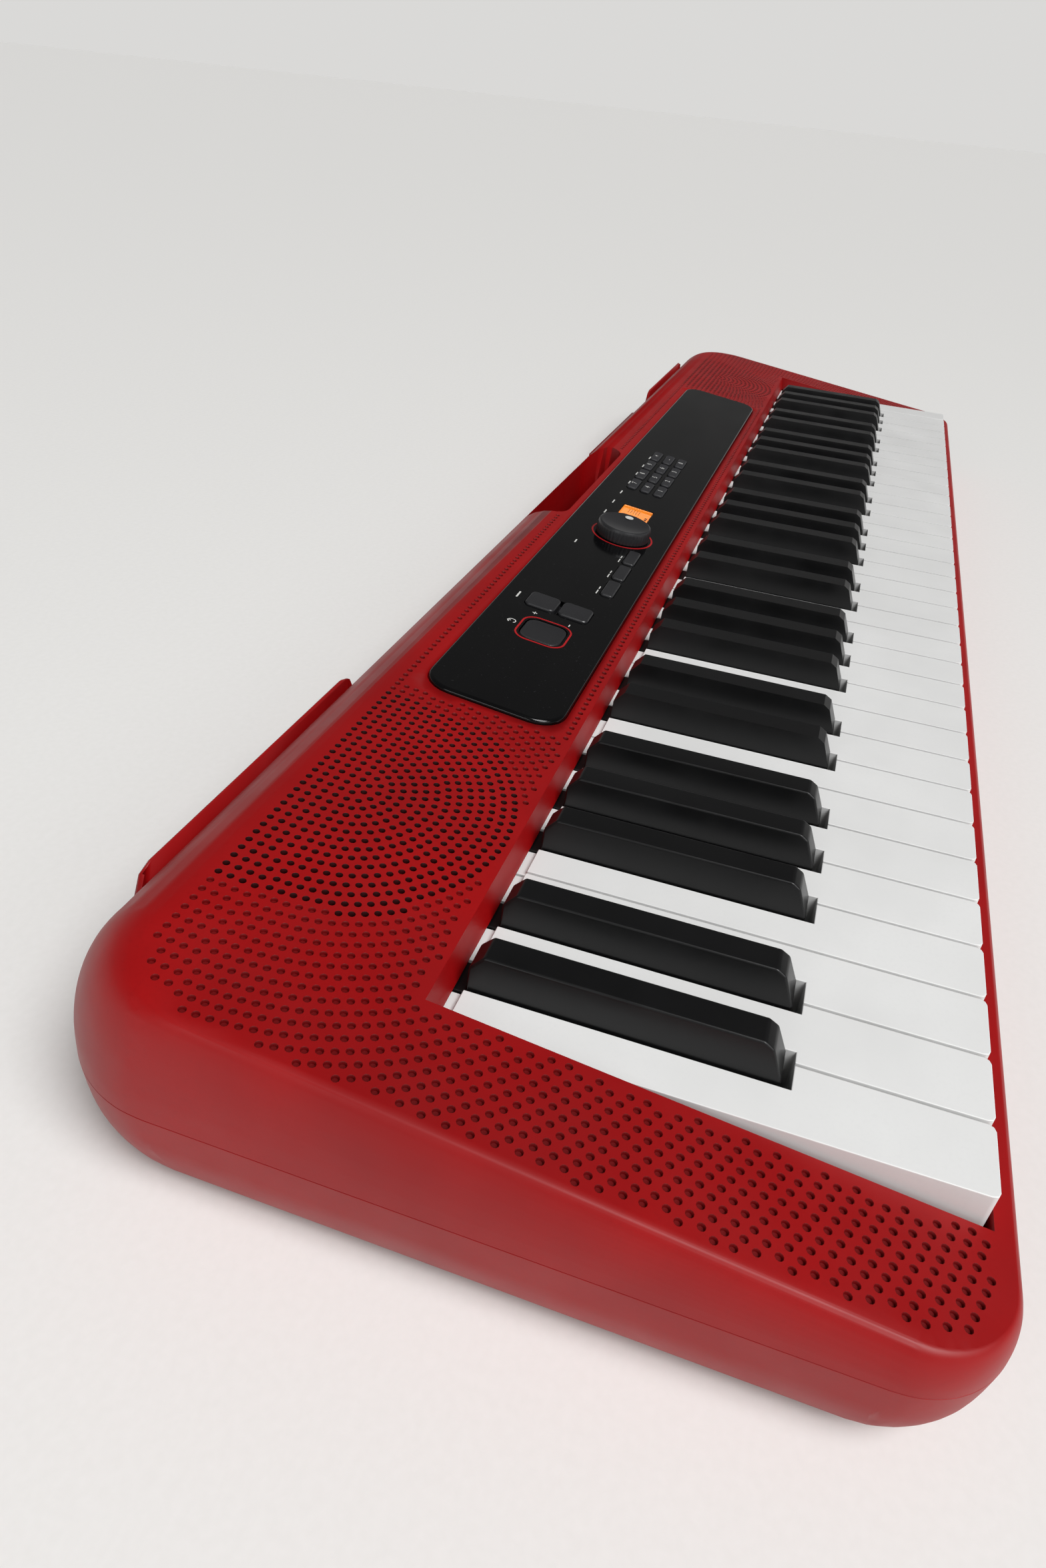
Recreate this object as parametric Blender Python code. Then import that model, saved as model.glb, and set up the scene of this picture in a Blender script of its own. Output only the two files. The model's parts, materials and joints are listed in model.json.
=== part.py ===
"""Portable keyboard with full-size keys, built as its separate pieces.

Units are metres and +Z is up. X runs from the bass end to the treble end, Y from the player to the
rear, and the origin is on the floor under the middle of the casing. Sizes along the keys are measured
from the fronts of the white keys, and the deck, the panel and its controls lie in a frame that is
tilted with the deck.
"""
import math

import bmesh
import bpy
from mathutils import Matrix

# Keys
OCTAVES = 5
WHITES_PER_OCTAVE = 7
WHITE_COUNT = OCTAVES * WHITES_PER_OCTAVE + 1
SEPARATE_OCTAVES = 1           # octaves at the bass end whose keys are single pieces here
KEY_TOP_HEIGHT = 0.0545        # white key tops above the table
WHITE_PITCH = 0.0235
KEY_GAP = 0.0010
WHITE_LENGTH = 0.1414
WHITE_SKIRT = 0.0160
WHITE_CORNER_RADIUS = 0.0020
KEY_WALL = 0.0016
KEY_TOP_WALL = 0.0022
NOTCH_FRONT = 0.0511
NOTCH_WIDTH = 0.0136
BLACK_BASE_WIDTH = 0.0122
BLACK_TOP_WIDTH = 0.0096
BLACK_FRONT = 0.0540
BLACK_RISE = 0.0115            # black key tops above the white ones
BLACK_SKIRT = 0.0130           # black keys below the white tops
BLACK_SLOPE = 0.0036           # length of the slanted front face
BLACK_NOSE = 0.0064            # from a black key's front to its full height
BLACK_SHOULDER = 0.0040        # rounded rear end of a black key

# Key tails and their pivot
PIVOT_BEHIND_KEYS = 0.0226
PIVOT_HEIGHT = 0.0445
RIDGE_RADIUS = 0.0030
RUNNING_GAP = 0.0003
TAIL_STEP = 0.0020             # tails below the white tops, where they pass under the casing
TAIL_SHOULDER = 0.0082
TAIL_HEIGHT = 0.0052
TAIL_WIDTH = 0.0080
TAIL_OVERHANG = 0.0080
RAIL_DEPTH = 0.0035
RAIL_THICKNESS = 0.0022
RAIL_CLEARANCE = 0.0009
RAIL_PITCH = 0.0050            # from one comb's rail to the next one behind it
FIRST_RAIL = -0.0060           # front of the first rail, from the pivot

# Casing round the keys
CHEEK_WIDTH = 0.0420
REAR_DEPTH = 0.1056            # casing behind the keys
FRONT_LIP = 0.0090             # from the front of the casing to the fronts of the keys
WALL = 0.0026
FLOOR_HEIGHT = 0.0030          # underside of the casing above the table
BELT_HEIGHT = 0.0340           # widest line of the casing, where its two halves meet
SEAM_GAP = 0.0003
DECK_TILT = math.radians(7.0)
DECK_DROP = 0.00915            # from the white key tops down to the deck at the key fronts
PLATEAU_END_INSET = 0.0050     # flat top of the casing, measured in from the widest line
PLATEAU_FRONT_INSET = 0.0035
PLATEAU_REAR_INSET = 0.0265
PLATEAU_FRONT_RADIUS = 0.023
PLATEAU_REAR_RADIUS = 0.030
BELT_FRONT_RADIUS = 0.028
BELT_REAR_RADIUS = 0.040
BASE_INSET = 0.0110            # underside, measured in from the widest line
CORNER_STEPS = 9
BODY_LENGTH = WHITE_COUNT * WHITE_PITCH + 2 * CHEEK_WIDTH
BODY_REAR = WHITE_LENGTH + REAR_DEPTH
BODY_DEPTH = FRONT_LIP + BODY_REAR

# Opening for the keys
BAY_SIDE_GAP = 0.0018
BAY_FRONT_GAP = 0.0012
BAY_REAR_GAP = 0.0032          # from the keys to the foot of the wall behind them
BAY_WALL = 0.0024
BAY_REAR_LEAN = 0.218
BAY_WALL_FOOT = 0.0010         # wall foot below the white key tops
BAY_COLLAR_BOTTOM = 0.0350
BAY_REAR = WHITE_LENGTH + BAY_REAR_GAP

# Control panel, in the deck's own frame
PANEL_LENGTH = 0.562
PANEL_DEPTH = 0.0566
PANEL_BEHIND_KEYS = 0.0133
PANEL_RADIUS = 0.012
PANEL_THICKNESS = 0.0025
PANEL_RISE = 0.0018
PANEL_EDGE = 0.0016
PANEL_GAP = 0.0003
PANEL_LEDGE = 0.0040
PANEL_FRONT = WHITE_LENGTH + PANEL_BEHIND_KEYS
PANEL_REAR = PANEL_FRONT + PANEL_DEPTH
BOARD_DEPTH = 0.0080           # top of the panel's circuit board below the deck surface
BOARD_THICKNESS = 0.0016
POST_RADIUS = 0.0025
POST_INSET = 0.0080
END_POST_INSET = 0.0180
INNER_POSTS = (-0.1680, -0.0110, 0.0980)

# Controls: centre (x, v), width and depth, in the deck's own frame
BUTTON_GAP = 0.0004
BUTTON_FLANGE = 0.0012
BUTTON_RISE = 0.0010
BUTTON_TRAVEL = 0.0008
BUTTON_EDGE = 0.0005
POWER_BUTTON = (-0.2120, PANEL_FRONT + 0.0279, 0.0190, 0.0186)
POWER_DISH = 0.0006
VOLUME_BUTTONS = (-0.1850, PANEL_FRONT + 0.0288, 0.0140, 0.0142)
VOLUME_SPACING = 0.0158
FUNCTION_BUTTONS = (-0.1484, PANEL_FRONT + 0.0137, 0.0184, 0.0062)
FUNCTION_PITCH = 0.0220
FUNCTION_COUNT = 3
DISPLAY_WINDOW = (-0.0444, PANEL_FRONT + 0.0270, 0.0300, 0.0174)
DIAL_CENTRE = (-0.0770, PANEL_FRONT + 0.0256)
DIAL_RADIUS = 0.0145
DIAL_HEIGHT = 0.0072
SHAFT_RADIUS = 0.0030
KEYPAD_CENTRE = (0.0400, PANEL_FRONT + 0.0306)
KEYPAD_PITCH = (0.0215, 0.0082)
KEYPAD_KEY = (0.0180, 0.0056)
KEYPAD_COLUMNS = 4
KEYPAD_ROWS = 3

# Carry handle, music-rest slots and speakers
HANDLE_HALF_LENGTH = 0.0710
HANDLE_INSET = 0.0085          # from the rear of the casing
HANDLE_DEPTH = 0.0250
HANDLE_RADIUS = 0.0115
HANDLE_WALL = 0.0022
HANDLE_REAR = BODY_REAR - HANDLE_INSET
HANDLE_FRONT = HANDLE_REAR - HANDLE_DEPTH
SLOT_LENGTH = 0.1330
SLOT_END_INSET = 0.0540
SLOT_INSET = 0.0062
SLOT_WIDTH = 0.0045
SLOT_FLOOR = 0.0500
SLOT_WALL = 0.0022
SLOT_LIP_TOP = 0.0652            # lip behind each slot, which holds the music rest up
SLOT_LIP_THICKNESS = 0.0013
SLOT_LIP_RUN = 0.0050            # over which the lip's ends sink into the shoulder
SLOT_END = BODY_LENGTH / 2 - SLOT_END_INSET
SLOT_START = SLOT_END - SLOT_LENGTH
SLOT_FRONT = BODY_REAR - SLOT_INSET - SLOT_WIDTH
SPEAKER_X = BODY_LENGTH / 2 - 0.1140
SPEAKER_Y = WHITE_LENGTH + 0.0481
SPEAKER_HALF = (0.0520, 0.0265)
SPEAKER_DEPTH = 0.0190
MAGNET_RADIUS = 0.0130
GRILLE_PITCH = 0.0112
GRILLE_HOLE_RADIUS = 0.0018
GRILLE_Y = WHITE_LENGTH + 0.0586
GRILLE_HALF = (0.0575, 0.0410)
GRILLE_SHOULDER = GRILLE_Y - 0.0100   # behind this line the grille keeps its full width
GRILLE_REAR = BODY_REAR - PLATEAU_REAR_INSET - 0.0020

# Sockets at the rear, battery bay, feet and boards
SOCKET_BAY = (0.1070, 0.2330)
SOCKET_BAY_INSET = 0.0038
SOCKET_BAY_FLOOR = BODY_REAR - SOCKET_BAY_INSET
SOCKET_HEIGHT = 0.0470
SOCKET_WALL = 0.0030
SOCKET_BODY_DEPTH = 0.0150
PHONES_X = 0.2160
PEDAL_X = 0.1930
USB_X = 0.1600
DC_X = 0.1260
PHONES_RADIUS = 0.0042
PHONES_BORE = 0.0032
DC_RADIUS = 0.0042
DC_BORE = 0.0030
USB_SIZE = (0.0100, 0.0050)
BAY_INSET = 0.0115             # battery bay, from the rear of the casing
BATTERY_BAY = (-0.2560, -0.0900, BODY_REAR - BAY_INSET - 0.0320, BODY_REAR - BAY_INSET)
BATTERY_BAY_HEIGHT = 0.0190
COVER_THICKNESS = 0.0021
COVER_LEDGE = 0.0018
FOOT_RADIUS = 0.0090
FOOT_X = BODY_LENGTH / 2 - 0.0650
FOOT_ROWS = (0.0220, BODY_REAR - 0.0370)
MAIN_BOARD = (0.0800, 0.2420, BODY_REAR - 0.0690, BODY_REAR - 0.0140)
MAIN_BOARD_HEIGHT = 0.0360

# Key chassis
CHASSIS_WALL = 0.0024
CHASSIS_FRONT = 0.0080
CHASSIS_OVERHANG = 0.0100      # behind the pivot
CHASSIS_END_GAP = 0.0004
FRONT_RAIL_HEIGHT = 0.0260
FRONT_RAIL_DEPTH = 0.0260
CHASSIS_FLOOR_HEIGHT = 0.0200
RIDGE_FOOT = 0.0015
CONTACT_SHELF = (0.0740, 0.1140, 0.0240)
FELT_THICKNESS = 0.0024
FELT_INSET = 0.0030
STRIP_HALF_WIDTH = 0.0120
STRIP_SKIRT = 0.0014
STRIP_HEIGHT = 0.0050
BAR_BEHIND_KEYS = 0.0098
BAR_DEPTH = 0.0052
BAR_THICKNESS = 0.0022
THROUGH = 0.1                  # a cut that goes right through the casing's height

# Places worked out from the sizes above
BODY_FRONT_Y = -BODY_DEPTH / 2
KEY_FRONT_Y = BODY_FRONT_Y + FRONT_LIP
DECK_HEIGHT = KEY_TOP_HEIGHT - DECK_DROP
KEYS_LEFT_X = -WHITE_COUNT * WHITE_PITCH / 2
BAY_HALF = -KEYS_LEFT_X - KEY_GAP / 2 + BAY_SIDE_GAP
FLOOR_TOP = FLOOR_HEIGHT + WALL
PIVOT_FROM_FRONT = WHITE_LENGTH + PIVOT_BEHIND_KEYS
TAIL_TOP = PIVOT_HEIGHT + TAIL_HEIGHT
TAIL_SHOULDER_END = WHITE_LENGTH + TAIL_SHOULDER
TAIL_END = PIVOT_FROM_FRONT + TAIL_OVERHANG
RAIL_STARTS = {name: PIVOT_FROM_FRONT + FIRST_RAIL + i * RAIL_PITCH
               for i, name in enumerate(("outer", "inner", "black"))}
CHASSIS_REAR = PIVOT_FROM_FRONT + CHASSIS_OVERHANG
BAR_START = WHITE_LENGTH + BAR_BEHIND_KEYS
DECK_FRAME = Matrix.Translation((0, KEY_FRONT_Y, DECK_HEIGHT)) @ Matrix.Rotation(DECK_TILT, 4, "X")

# White keys by letter: black key offsets from the gap at their left and at their right, or None
BLACK_OFFSETS = {"c_sharp": -0.0024, "d_sharp": 0.0024, "f_sharp": -0.0036, "g_sharp": 0.0, "a_sharp": 0.0036}
WHITE_KEYS = {
    "c": (0, None, "c_sharp"), "d": (1, "c_sharp", "d_sharp"), "e": (2, "d_sharp", None),
    "f": (3, None, "f_sharp"), "g": (4, "f_sharp", "g_sharp"), "a": (5, "g_sharp", "a_sharp"),
    "b": (6, "a_sharp", None),
}
BLACK_KEYS = {"c_sharp": 1, "d_sharp": 2, "f_sharp": 4, "g_sharp": 5, "a_sharp": 6}
COMBS = {
    "c_e_g_b": (("c", "e", "g", "b"), "outer"),
    "d_f_a": (("d", "f", "a"), "inner"),
    "black": (tuple(BLACK_KEYS), "black"),
}


def deck_z(y):
    """Height of the deck surface at a distance behind the key fronts."""
    return DECK_HEIGHT + math.tan(DECK_TILT) * y


def make_material(name, color, roughness, metallic=0.0):
    """A plain material in the piece's own colour."""
    material = bpy.data.materials.new(name)
    material.use_nodes = True
    shader = material.node_tree.nodes["Principled BSDF"]
    shader.inputs["Base Color"].default_value = (*color, 1.0)
    shader.inputs["Roughness"].default_value = roughness
    shader.inputs["Metallic"].default_value = metallic
    return material


def build_mesh(rings, caps=(True, True)):
    """A skin through rings of equal length, closed at its ends."""
    bm = bmesh.new()
    loops = [[bm.verts.new(point) for point in ring] for ring in rings]
    count = len(loops[0])
    for lower, upper in zip(loops, loops[1:]):
        for i in range(count):
            j = (i + 1) % count
            bm.faces.new((lower[i], lower[j], upper[j], upper[i]))
    if caps[0]:
        bm.faces.new(list(reversed(loops[0])))
    if caps[1]:
        bm.faces.new(loops[-1])
    bmesh.ops.recalc_face_normals(bm, faces=bm.faces)
    return bm


def prism(outline, z_low, z_high):
    """A straight solid on an outline of (x, y) points."""
    return build_mesh([[(x, y, z) for x, y in outline] for z in (z_low, z_high)])


def prism_along_x(profile, x_low, x_high):
    """A straight solid along X on a profile of (y, z) points."""
    return build_mesh([[(x, y, z) for y, z in profile] for x in (x_low, x_high)])


def rectangle(x_low, x_high, y_low, y_high):
    return [(x_low, y_low), (x_high, y_low), (x_high, y_high), (x_low, y_high)]


def circle(x, y, radius, sides):
    return [(x + radius * math.cos(2 * math.pi * i / sides), y + radius * math.sin(2 * math.pi * i / sides))
            for i in range(sides)]


def rounded_rectangle(x_low, x_high, y_low, y_high, front_radius, rear_radius, steps):
    """A rectangle with rounded corners, counter-clockwise from its front left corner."""
    corners = [
        (x_low + front_radius, y_low + front_radius, front_radius, 180),
        (x_high - front_radius, y_low + front_radius, front_radius, 270),
        (x_high - rear_radius, y_high - rear_radius, rear_radius, 0),
        (x_low + rear_radius, y_high - rear_radius, rear_radius, 90),
    ]
    points = []
    for x, y, radius, start in corners:
        for step in range(steps + 1):
            angle = math.radians(start + 90 * step / steps)
            points.append((x + radius * math.cos(angle), y + radius * math.sin(angle)))
    return points


def shift_outline(outline, dx, dy):
    return [(x + dx, y + dy) for x, y in outline]


def move(bm, matrix):
    """Move a solid that is still being made."""
    bmesh.ops.transform(bm, matrix=matrix, verts=bm.verts)
    return bm


def from_key_fronts(bm):
    """Move a solid that was laid out from the key fronts into the keyboard's frame."""
    return move(bm, Matrix.Translation((0, KEY_FRONT_Y, 0)))


def on_deck(bm):
    """Move a solid that was laid out on the deck into the keyboard's frame."""
    return move(bm, DECK_FRAME)


def joined(solids):
    """Several solids in one mesh, for one boolean step."""
    total = bmesh.new()
    for solid in solids:
        mesh = bpy.data.meshes.new("part")
        solid.to_mesh(mesh)
        solid.free()
        total.from_mesh(mesh)
        bpy.data.meshes.remove(mesh)
    return total


def make_object(name, bm, material, origin=None, smooth=True):
    """A named piece whose origin is at the given point, with the solid left where it is."""
    if origin is not None:
        move(bm, Matrix(origin).inverted())
    mesh = bpy.data.meshes.new(name)
    bm.to_mesh(mesh)
    bm.free()
    if material:
        mesh.materials.append(material)
    piece = bpy.data.objects.new(name, mesh)
    bpy.context.collection.objects.link(piece)
    if origin is not None:
        piece.matrix_world = origin
    if smooth:
        mesh.shade_smooth()
        mesh.set_sharp_from_angle(angle=math.radians(35))
    return piece


def combine(piece, solid, operation):
    """Cut a solid from a piece, or join it to the piece, and keep the result as the piece's mesh."""
    mesh = bpy.data.meshes.new("tool")
    solid.to_mesh(mesh)
    solid.free()
    tool = bpy.data.objects.new("tool", mesh)
    bpy.context.collection.objects.link(tool)
    modifier = piece.modifiers.new("step", "BOOLEAN")
    modifier.operation = operation
    modifier.object = tool
    bpy.context.view_layer.update()
    evaluated = piece.evaluated_get(bpy.context.evaluated_depsgraph_get())
    result = bpy.data.meshes.new_from_object(evaluated)
    piece.modifiers.remove(modifier)
    old = piece.data
    piece.data = result
    bpy.data.meshes.remove(old)
    bpy.data.objects.remove(tool)
    bpy.data.meshes.remove(mesh)
    result.name = piece.name
    return piece


def cut(piece, *solids):
    return combine(piece, joined(solids), "DIFFERENCE")


def fuse(piece, *solids):
    for solid in solids:
        combine(piece, solid, "UNION")
    return piece


def case_ring(kind, inset):
    """Outline of the casing at its flat top, its widest line or its underside, moved in by a wall."""
    x_half = BODY_LENGTH / 2
    front = BODY_FRONT_Y
    rear = BODY_DEPTH / 2
    radii = (BELT_FRONT_RADIUS, BELT_REAR_RADIUS)
    if kind == "plateau":
        x_half -= PLATEAU_END_INSET
        front += PLATEAU_FRONT_INSET
        rear -= PLATEAU_REAR_INSET
        radii = (PLATEAU_FRONT_RADIUS, PLATEAU_REAR_RADIUS)
    if kind == "base":
        x_half -= BASE_INSET
        front += BASE_INSET
        rear -= BASE_INSET
    return rounded_rectangle(-x_half + inset, x_half - inset, front + inset, rear - inset,
                             radii[0] - inset, radii[1] - inset, CORNER_STEPS)


def blend_ring(start, end, share):
    return [(a[0] + (b[0] - a[0]) * share, a[1] + (b[1] - a[1]) * share) for a, b in zip(start, end)]


def upper_skin(inset):
    """Rings from the widest line up to the flat top, along a quarter of an ellipse."""
    belt, top = case_ring("belt", inset), case_ring("plateau", inset)
    rings = []
    for degrees in (90, 76, 62, 48, 34, 21, 9, 0):
        angle = math.radians(degrees)
        outline = blend_ring(top, belt, math.sin(angle))
        ring = []
        for (x, y), (_, top_y) in zip(outline, top):
            top_z = deck_z(top_y - KEY_FRONT_Y) - inset
            ring.append((x, y, BELT_HEIGHT + (top_z - BELT_HEIGHT) * math.cos(angle)))
        rings.append(ring)
    return rings


def lower_skin(inset):
    """Rings from the widest line down to the underside, along a quarter of an ellipse."""
    belt, base = case_ring("belt", inset), case_ring("base", inset)
    top_z, low_z = BELT_HEIGHT - SEAM_GAP, FLOOR_HEIGHT + inset
    rings = []
    for degrees in (0, 25, 50, 72, 90):
        angle = math.radians(degrees)
        z = top_z + (low_z - top_z) * math.sin(angle)
        rings.append([(x, y, z) for x, y in blend_ring(belt, base, 1 - math.cos(angle))])
    return rings


def shell(outer, inner):
    """A closed wall between two skins that share their first, open rim."""
    return build_mesh(list(reversed(outer)) + inner)


def under_deck(outline, z_low, depth):
    """A straight solid whose top runs parallel to the deck, at a depth below its surface."""
    low = [(x, y, z_low) for x, y in outline]
    high = [(x, y, deck_z(y) - depth) for x, y in outline]
    return from_key_fronts(build_mesh([low, high]))


def bay_cutter():
    """The opening for the keys, whose rear wall leans back."""
    x, front = BAY_HALF, -BAY_FRONT_GAP
    rings = []
    for z in (BAY_COLLAR_BOTTOM - 0.01, KEY_TOP_HEIGHT + 0.05):
        rear = BAY_REAR + BAY_REAR_LEAN * (z - KEY_TOP_HEIGHT)
        rings.append([(px, py, z) for px, py in rectangle(-x, x, front, rear)])
    return from_key_fronts(build_mesh(rings))


def grille_holes(side):
    """Round holes on rings about a point over each speaker, inside a U shape that closes at the front."""
    cutters = []
    centre_x, centre_y = side * SPEAKER_X, GRILLE_Y
    for ring in range(1, 6):
        radius = ring * GRILLE_PITCH
        count = round(2 * math.pi * ring)
        for i in range(count):
            angle = 2 * math.pi * i / count
            x, y = radius * math.cos(angle), centre_y + radius * math.sin(angle)
            forward = max(0.0, GRILLE_SHOULDER - y)
            if y < GRILLE_REAR and (x / GRILLE_HALF[0]) ** 2 + (forward / GRILLE_HALF[1]) ** 2 <= 1:
                cutters.append(prism(circle(centre_x + x, y, GRILLE_HOLE_RADIUS, 6),
                                     deck_z(y) - 2 * WALL, deck_z(y) + WALL))
    return from_key_fronts(joined(cutters))


def handle_outline(grow):
    return rounded_rectangle(-HANDLE_HALF_LENGTH - grow, HANDLE_HALF_LENGTH + grow, HANDLE_FRONT - grow,
                             HANDLE_REAR + grow, HANDLE_RADIUS + grow, HANDLE_RADIUS + grow, 5)


def handle_collar():
    """Wall round the handle hole, from the widest line up to the middle of the casing's own wall."""
    collar = make_object("collar", from_key_fronts(prism(handle_outline(HANDLE_WALL), 0, THROUGH)), None)
    combine(collar, build_mesh(upper_skin(WALL / 2)), "INTERSECT")
    bm = bmesh.new()
    bm.from_mesh(collar.data)
    mesh = collar.data
    bpy.data.objects.remove(collar)
    bpy.data.meshes.remove(mesh)
    return bm


def slot_solids(side):
    """Pocket for one leg of the music rest: the block round it, and the slot itself."""
    x_low, x_high = sorted((side * SLOT_START, side * SLOT_END))
    front, rear = SLOT_FRONT - SLOT_WALL, SLOT_FRONT + SLOT_WIDTH + SLOT_WALL
    low = SLOT_FLOOR - SLOT_WALL
    block = [(front, low), (rear, low), (rear, low + 0.0045), (front, low + 0.0155)]
    slot = [(SLOT_FRONT, SLOT_FLOOR), (SLOT_FRONT + SLOT_WIDTH, SLOT_FLOOR),
            (SLOT_FRONT + SLOT_WIDTH, SLOT_FLOOR + 0.04), (SLOT_FRONT, SLOT_FLOOR + 0.04)]
    return (from_key_fronts(prism_along_x(block, x_low - SLOT_WALL, x_high + SLOT_WALL)),
            from_key_fronts(prism_along_x(slot, x_low, x_high)))


def slot_lip(side):
    """Low lip that stands up behind a rest slot and sinks into the shoulder at both ends."""
    x_low, x_high = sorted((side * SLOT_START, side * SLOT_END))
    inner = SLOT_FRONT + SLOT_WIDTH
    outer, foot = inner + SLOT_WALL, SLOT_FLOOR - SLOT_WALL
    run = SLOT_LIP_RUN
    rings = []
    for x, share in ((x_low - run, 0.0), (x_low, 0.85), (x_low + run, 1.0),
                     (x_high - run, 1.0), (x_high, 0.85), (x_high + run, 0.0)):
        top = SLOT_LIP_TOP - (1 - share) * 0.0107
        side_top = foot + SLOT_WALL + share * 0.0065
        profile = ((inner - 0.0008, foot), (outer, foot), (outer, side_top),
                   (inner + SLOT_LIP_THICKNESS, top - 0.0006), (inner + 0.5 * SLOT_LIP_THICKNESS, top),
                   (inner - 0.0008, top))
        rings.append([(x, y, z) for y, z in profile])
    return from_key_fronts(build_mesh(rings))


def socket_cutter(x, radius):
    """A round hole through the rear wall, along Y."""
    ring = circle(x, SOCKET_HEIGHT, radius, 16)
    rings = [[(px, y, pz) for px, pz in ring] for y in (SOCKET_BAY_FLOOR - 0.02, SOCKET_BAY_FLOOR + 0.02)]
    return from_key_fronts(build_mesh(rings))


def box(x_low, x_high, y_low, y_high, z_low, z_high):
    """A block laid out from the key fronts."""
    return from_key_fronts(prism(rectangle(x_low, x_high, y_low, y_high), z_low, z_high))


def make_upper_case(material):
    """Upper half of the casing: cheeks, speaker deck, key opening, handle hole and rest slots."""
    case = make_object("upper_case", shell(upper_skin(0.0), upper_skin(WALL)), material)
    collar_rear = BAY_REAR + BAY_WALL * 2
    outer = BAY_HALF + BAY_WALL
    fuse(case,
         under_deck(rectangle(-outer, outer, -BAY_FRONT_GAP - BAY_WALL, collar_rear), BAY_COLLAR_BOTTOM, WALL / 2),
         handle_collar())
    for side in (-1, 1):
        block, slot = slot_solids(side)
        fuse(case, block, slot_lip(side))
        cut(case, slot)
    socket_low, socket_high = SOCKET_HEIGHT - 0.0090, SOCKET_HEIGHT + 0.0080
    fuse(case, box(SOCKET_BAY[0] - SOCKET_WALL, SOCKET_BAY[1] + SOCKET_WALL, SOCKET_BAY_FLOOR - SOCKET_WALL,
                   SOCKET_BAY_FLOOR + 0.0012, socket_low - SOCKET_WALL, socket_high + 0.0010))
    cut(case, box(SOCKET_BAY[0], SOCKET_BAY[1], SOCKET_BAY_FLOOR, SOCKET_BAY_FLOOR + 0.02, socket_low, socket_high))
    cut(case, socket_cutter(PHONES_X, PHONES_RADIUS), socket_cutter(PEDAL_X, PHONES_RADIUS),
        socket_cutter(DC_X, DC_RADIUS),
        box(USB_X - USB_SIZE[0] / 2, USB_X + USB_SIZE[0] / 2, SOCKET_BAY_FLOOR - 0.02, SOCKET_BAY_FLOOR + 0.02,
            SOCKET_HEIGHT - USB_SIZE[1] / 2, SOCKET_HEIGHT + USB_SIZE[1] / 2))
    cut(case, box(-BAY_HALF, BAY_HALF, WHITE_LENGTH - 0.03, collar_rear + 0.001, 0,
                  KEY_TOP_HEIGHT - BAY_WALL_FOOT))
    cut(case, bay_cutter())
    cut(case, from_key_fronts(prism(handle_outline(0.0), 0, THROUGH)))
    half = PANEL_LENGTH / 2
    recess = rounded_rectangle(-half - PANEL_GAP, half + PANEL_GAP, PANEL_FRONT - PANEL_GAP,
                               PANEL_REAR + PANEL_GAP, PANEL_RADIUS + PANEL_GAP, PANEL_RADIUS + PANEL_GAP, 6)
    seat = PANEL_RISE - PANEL_THICKNESS - PANEL_GAP
    cut(case, on_deck(prism(recess, seat, 0.01)))
    opening = rectangle(-half + PANEL_LEDGE, half - PANEL_LEDGE, PANEL_FRONT + PANEL_LEDGE, PANEL_REAR - PANEL_LEDGE)
    cut(case, on_deck(prism(opening, -0.02, 0.01)))
    cut(case, grille_holes(-1), grille_holes(1))
    return case


def make_lower_case(material):
    """Lower half of the casing: tray, battery bay, handle collar and posts for the main board."""
    case = make_object("lower_case", shell(lower_skin(0.0), lower_skin(WALL)), material)
    x_low, x_high, y_low, y_high = BATTERY_BAY
    roof = FLOOR_TOP + BATTERY_BAY_HEIGHT
    middle = FLOOR_HEIGHT + WALL / 2
    fuse(case,
         box(x_low - WALL, x_high + WALL, y_low - WALL, y_high + WALL, middle, roof + WALL),
         from_key_fronts(prism(handle_outline(HANDLE_WALL), middle, BELT_HEIGHT - SEAM_GAP)))
    board = MAIN_BOARD
    for x in (board[0] + 0.006, board[1] - 0.006):
        for y in (board[2] + 0.006, board[3] - 0.006):
            fuse(case, from_key_fronts(prism(circle(x, y, POST_RADIUS, 8), middle, MAIN_BOARD_HEIGHT - RUNNING_GAP)))
    ledge = COVER_LEDGE
    cut(case, box(x_low, x_high, y_low, y_high, FLOOR_HEIGHT + COVER_THICKNESS + 2 * RUNNING_GAP, roof))
    cut(case, box(x_low - ledge, x_high + ledge, y_low - ledge, y_high + ledge, 0,
                  FLOOR_HEIGHT + COVER_THICKNESS + 2 * RUNNING_GAP))
    cut(case, from_key_fronts(prism(handle_outline(0.0), 0, THROUGH)))
    return case


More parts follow.
